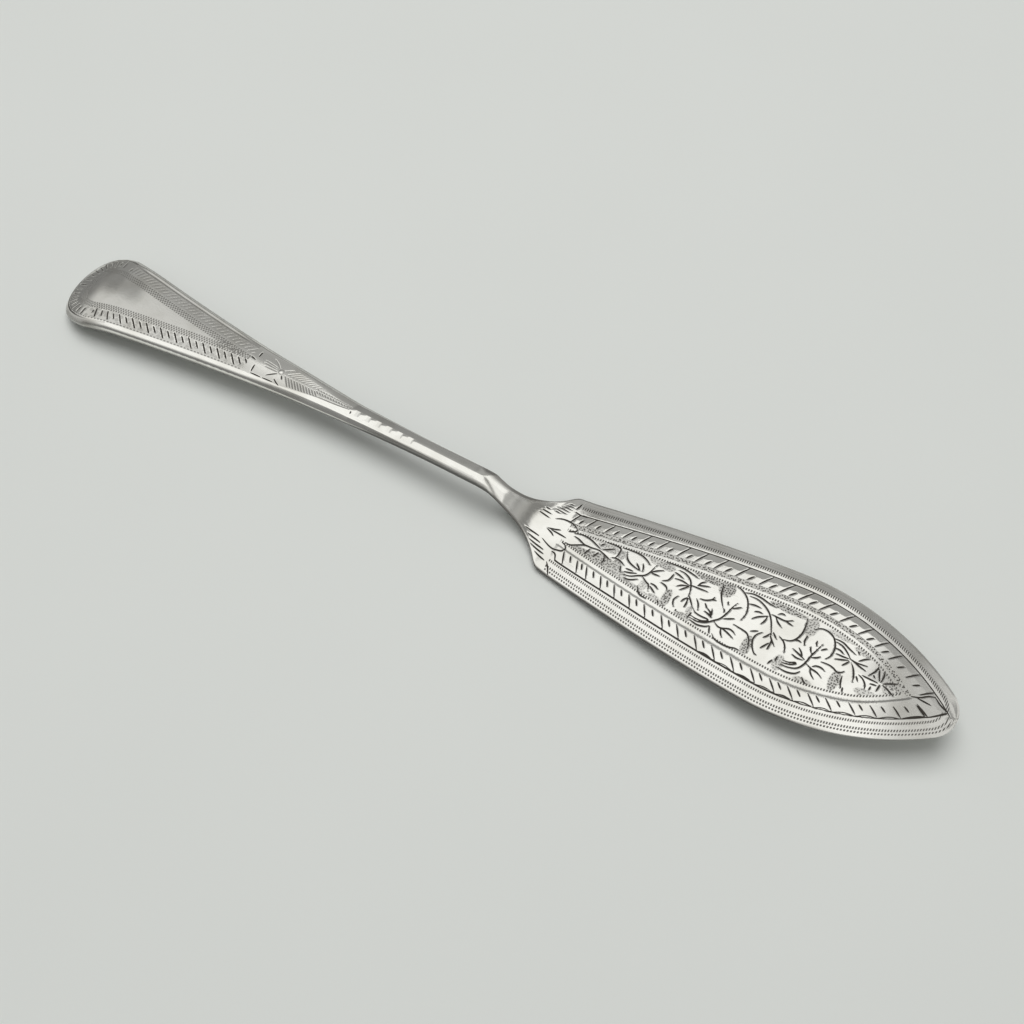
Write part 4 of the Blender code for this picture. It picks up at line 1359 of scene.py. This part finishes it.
# Punched rows: outer and inner limit, pitch, and how far a row is shifted, as a share of the pitch.
FIELD_ROWS = ((4.05, 4.5, 0.6, 0.0), (4.55, 5.0, 0.6, 0.5), (5.05, 5.45, 0.6, 0.0))
NEAR_ROW = (1.3, 1.58, 0.8)
FILL_PUNCH = (0.58, 0.42)
SCUFF_BAND = (1.7, 3.9, 0.1)
SCUFF_PUNCH = (1.15, 0.45)
ROW_DARK = 0.7
SCUFF_DARK = 0.26
handle_silver = bpy.data.materials.new("handle_silver_engraved")
tree = tree_of(handle_silver)
in_cut = value_node(tree, "MULTIPLY", mark_node(tree, "oxide"),
                    step_node(tree, mark_node(tree, "cut"), *IN_CUT))
inset_mark = mark_node(tree, "inset")
run_mark = mark_node(tree, "run")
near_mark = mark_node(tree, "near_inset")
fill = value_node(tree, "MULTIPLY", mark_node(tree, "fill"), punch_marks(tree, *FILL_PUNCH))
rows = strongest(tree, *[punched_row(tree, inset_mark, run_mark, *row) for row in FIELD_ROWS],
                 punched_row(tree, near_mark, run_mark, *NEAR_ROW), fill)
scuffs = value_node(tree, "MULTIPLY", band_node(tree, near_mark, *SCUFF_BAND),
                    punch_marks(tree, *SCUFF_PUNCH))
# Besides oxide in the cuts and the punched rows, the dark mask paints shade on the walls, the underside
# and the rims.
handle_dark = strongest(tree, in_cut, value_node(tree, "MULTIPLY", rows, ROW_DARK),
                        value_node(tree, "MULTIPLY", scuffs, SCUFF_DARK), mark_node(tree, "painted_shade"))
finish_silver(handle_silver, handle_dark, rows)
handle.data.materials.append(handle_silver)
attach(handle, "root")
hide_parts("handle")


# Table: a plain pale top, only to carry the knife's shadow.
# It is one flat sheet of faintly mottled stone colour.
TABLE_SIZE = 6.0
TABLE_DARKER = (0.80, 0.82, 0.79)
TABLE_LIGHTER = (0.83, 0.85, 0.82)
MOTTLE_SCALE = 14.0
TABLE_ROUGHNESS = 0.5
bpy.ops.object.select_all(action="DESELECT")
bpy.ops.mesh.primitive_plane_add(size=TABLE_SIZE)
table = bpy.context.object
table.name = "table_top"
stone = bpy.data.materials.new("pale_table")
tree = tree_of(stone)
table_place = tree.nodes.new("ShaderNodeTexCoord").outputs["Object"]
mottle = noise_node(tree, table_place, MOTTLE_SCALE)
pale = mix_colours(tree, mottle, TABLE_DARKER, TABLE_LIGHTER)
tree.links.new(pale, tree.nodes["Principled BSDF"].inputs["Base Color"])
tree.nodes["Principled BSDF"].inputs["Roughness"].default_value = TABLE_ROUGHNESS
table.data.materials.append(stone)


# Light and camera: a soft bright ceiling, dimmer low down all round, that the metal mirrors, and a
# broad lamp beyond the knife; the camera stands where the photograph was taken.
# The room's own lengths are metres.
CAMERA_PLACE = Vector((0.07299, -0.10745, 0.223155))
CAMERA_ELEVATION = math.radians(60.751)
CAMERA_HEADING = math.radians(30.781)
FOCAL_PIXELS = 1300.0
PICTURE_PIXELS = 1024.0
SENSOR = 36.0
CLOSEST_SIGHT = 0.005
CEILING = 1.0
FILL = 0.36
BACKDROP = 0.7
LAMP_POWER = 5.2
LAMP_SIZE = 0.75
LAMP_AWAY = 0.22
LAMP_HEIGHT = 0.9
SKY_COLOUR = (0.99, 1.0, 0.98, 1.0)
# Zones of the ceiling: the angles in degrees where a change starts and stops, and its two values.
ON_LEFT = (-20.0, -12.0, 1.0, 0.0)
FAR_LEFT = (-30.0, -11.0, 1.0, 0.0)
LOW_LEFT = (-47.0, -32.0, 1.0, 0.0)
NEAR_END = (-72.0, -48.0, 0.12, 1.0)
FAR_LOW = (62.0, 76.0, 1.0, 0.55)
FAR_DIM = ((33.9, 36.2, 0.0, 0.66), (46.0, 53.0, 0.0, -0.06))
LEFT_DIM = ((4.0, 8.0, 0.0, 0.36), (15.5, 18.5, 0.0, 0.38), (25.5, 28.5, 0.0, 0.65))
FAR_LEFT_DIM = (19.2, 22.0, 0.0, 0.66)
LOW_LEFT_DIM = (19.2, 21.8, 0.0, 0.76)
LEFT_WALL = (-66.0, -46.0, 0.8, 0.0)
LEFT_WALL_REACH = ((26.0, 36.0, 0.0, 1.0), (-24.0, -12.0, 1.0, 0.0))
RIGHT_DIM = ((21.0, 25.5, 0.0, 0.78), (28.0, 32.0, 0.0, -0.2), (35.0, 38.0, 0.0, 0.12),
             (43.0, 47.0, 0.0, -0.6))
RIGHT_REACH = ((2.0, 6.0, 0.0, 1.0), (24.0, 27.0, 1.0, 0.0))
away = Vector((-math.sin(CAMERA_HEADING), math.cos(CAMERA_HEADING), 0.0))
aside = Vector((math.cos(CAMERA_HEADING), math.sin(CAMERA_HEADING), 0.0))

world = bpy.data.worlds.new("soft_ceiling")
bpy.context.scene.world = world
world.use_nodes = True
tree = world.node_tree
towards = tree.nodes.new("ShaderNodeTexCoord").outputs["Generated"]
upright = tree.nodes.new("ShaderNodeSeparateXYZ")
tree.links.new(towards, upright.inputs[0])


def part_towards(direction):
    """How far a sight line points towards a level direction."""
    part = tree.nodes.new("ShaderNodeVectorMath")
    part.operation = "DOT_PRODUCT"
    part.inputs[1].default_value = direction
    tree.links.new(towards, part.inputs[0])
    return part.outputs["Value"]


def rise_towards(direction):
    """Angle by which a sight line points towards a level direction."""
    return value_node(tree, "ARCSINE", part_towards(direction))


def shade(lean, start, stop, low, high):
    """A soft change of the ceiling's brightness between two angles in degrees."""
    return step_node(tree, lean, math.radians(start), math.radians(stop), low, high)


def both(first, *others):
    """The product of several brightnesses."""
    result = first
    for other in others:
        result = value_node(tree, "MULTIPLY", result, other)
    return result


def total(lean, zones):
    """The sum of several soft changes."""
    result = shade(lean, *zones[0])
    for zone in zones[1:]:
        result = value_node(tree, "ADD", result, shade(lean, *zone))
    return result


def rest_of(share):
    """What a share leaves of the whole."""
    return value_node(tree, "SUBTRACT", 1.0, share)


far_lean = rise_towards(away)
cross_lean = rise_towards(Vector((0.0, 1.0, 0.0)))
side_lean = value_node(tree, "ARCTAN2", part_towards(aside), upright.outputs["Z"])
on_left = shade(side_lean, *ON_LEFT)
near_end = shade(far_lean, *NEAR_END)
far_low = shade(far_lean, *FAR_LOW)
far_dim = total(far_lean, FAR_DIM)
left_dim = strongest(tree, *[shade(cross_lean, *zone) for zone in LEFT_DIM],
                     both(shade(side_lean, *FAR_LEFT), shade(cross_lean, *FAR_LEFT_DIM)),
                     both(shade(side_lean, *LOW_LEFT), shade(cross_lean, *LOW_LEFT_DIM)))
dim = value_node(tree, "ADD", both(far_dim, rest_of(on_left)), both(left_dim, on_left))
wall_reach = strongest(tree, *[shade(far_lean, *zone) for zone in LEFT_WALL_REACH])
left_wall = rest_of(both(shade(side_lean, *LEFT_WALL), wall_reach))
right_dim = both(total(side_lean, RIGHT_DIM), *[shade(far_lean, *zone) for zone in RIGHT_REACH])
ceiling = value_node(tree, "MINIMUM", both(near_end, far_low, rest_of(dim)),
                     both(left_wall, rest_of(right_dim)))
path = tree.nodes.new("ShaderNodeLightPath")
level = value_node(tree, "MULTIPLY_ADD", path.outputs["Is Glossy Ray"], CEILING - FILL, FILL)
seen = both(path.outputs["Is Camera Ray"], BACKDROP)
unseen = both(rest_of(path.outputs["Is Camera Ray"]), ceiling, level)
sky = tree.nodes["Background"]
sky.inputs["Color"].default_value = SKY_COLOUR
tree.links.new(value_node(tree, "ADD", seen, unseen), sky.inputs["Strength"])

lamp = bpy.data.lights.new("window_light", "AREA")
lamp.shape = "RECTANGLE"
lamp.size = LAMP_SIZE
lamp.size_y = LAMP_SIZE
lamp.energy = LAMP_POWER
lamp_holder = bpy.data.objects.new("window_light", lamp)
lamp_holder.location = away * LAMP_AWAY + Vector((0.0, 0.0, LAMP_HEIGHT))
lamp_holder.rotation_euler = (-lamp_holder.location).to_track_quat("-Z", "Y").to_euler()
lamp_holder.visible_glossy = False
bpy.context.scene.collection.objects.link(lamp_holder)

camera = bpy.data.cameras.new("camera")
camera.sensor_width = SENSOR
camera.lens = SENSOR * FOCAL_PIXELS / PICTURE_PIXELS
camera.clip_start = CLOSEST_SIGHT
eye = bpy.data.objects.new("camera", camera)
eye.location = CAMERA_PLACE
sight = away * math.cos(CAMERA_ELEVATION) - Vector((0.0, 0.0, math.sin(CAMERA_ELEVATION)))
eye.rotation_euler = sight.to_track_quat("-Z", "Y").to_euler()
bpy.context.scene.collection.objects.link(eye)
bpy.context.scene.camera = eye
bpy.context.scene.view_settings.view_transform = "Standard"
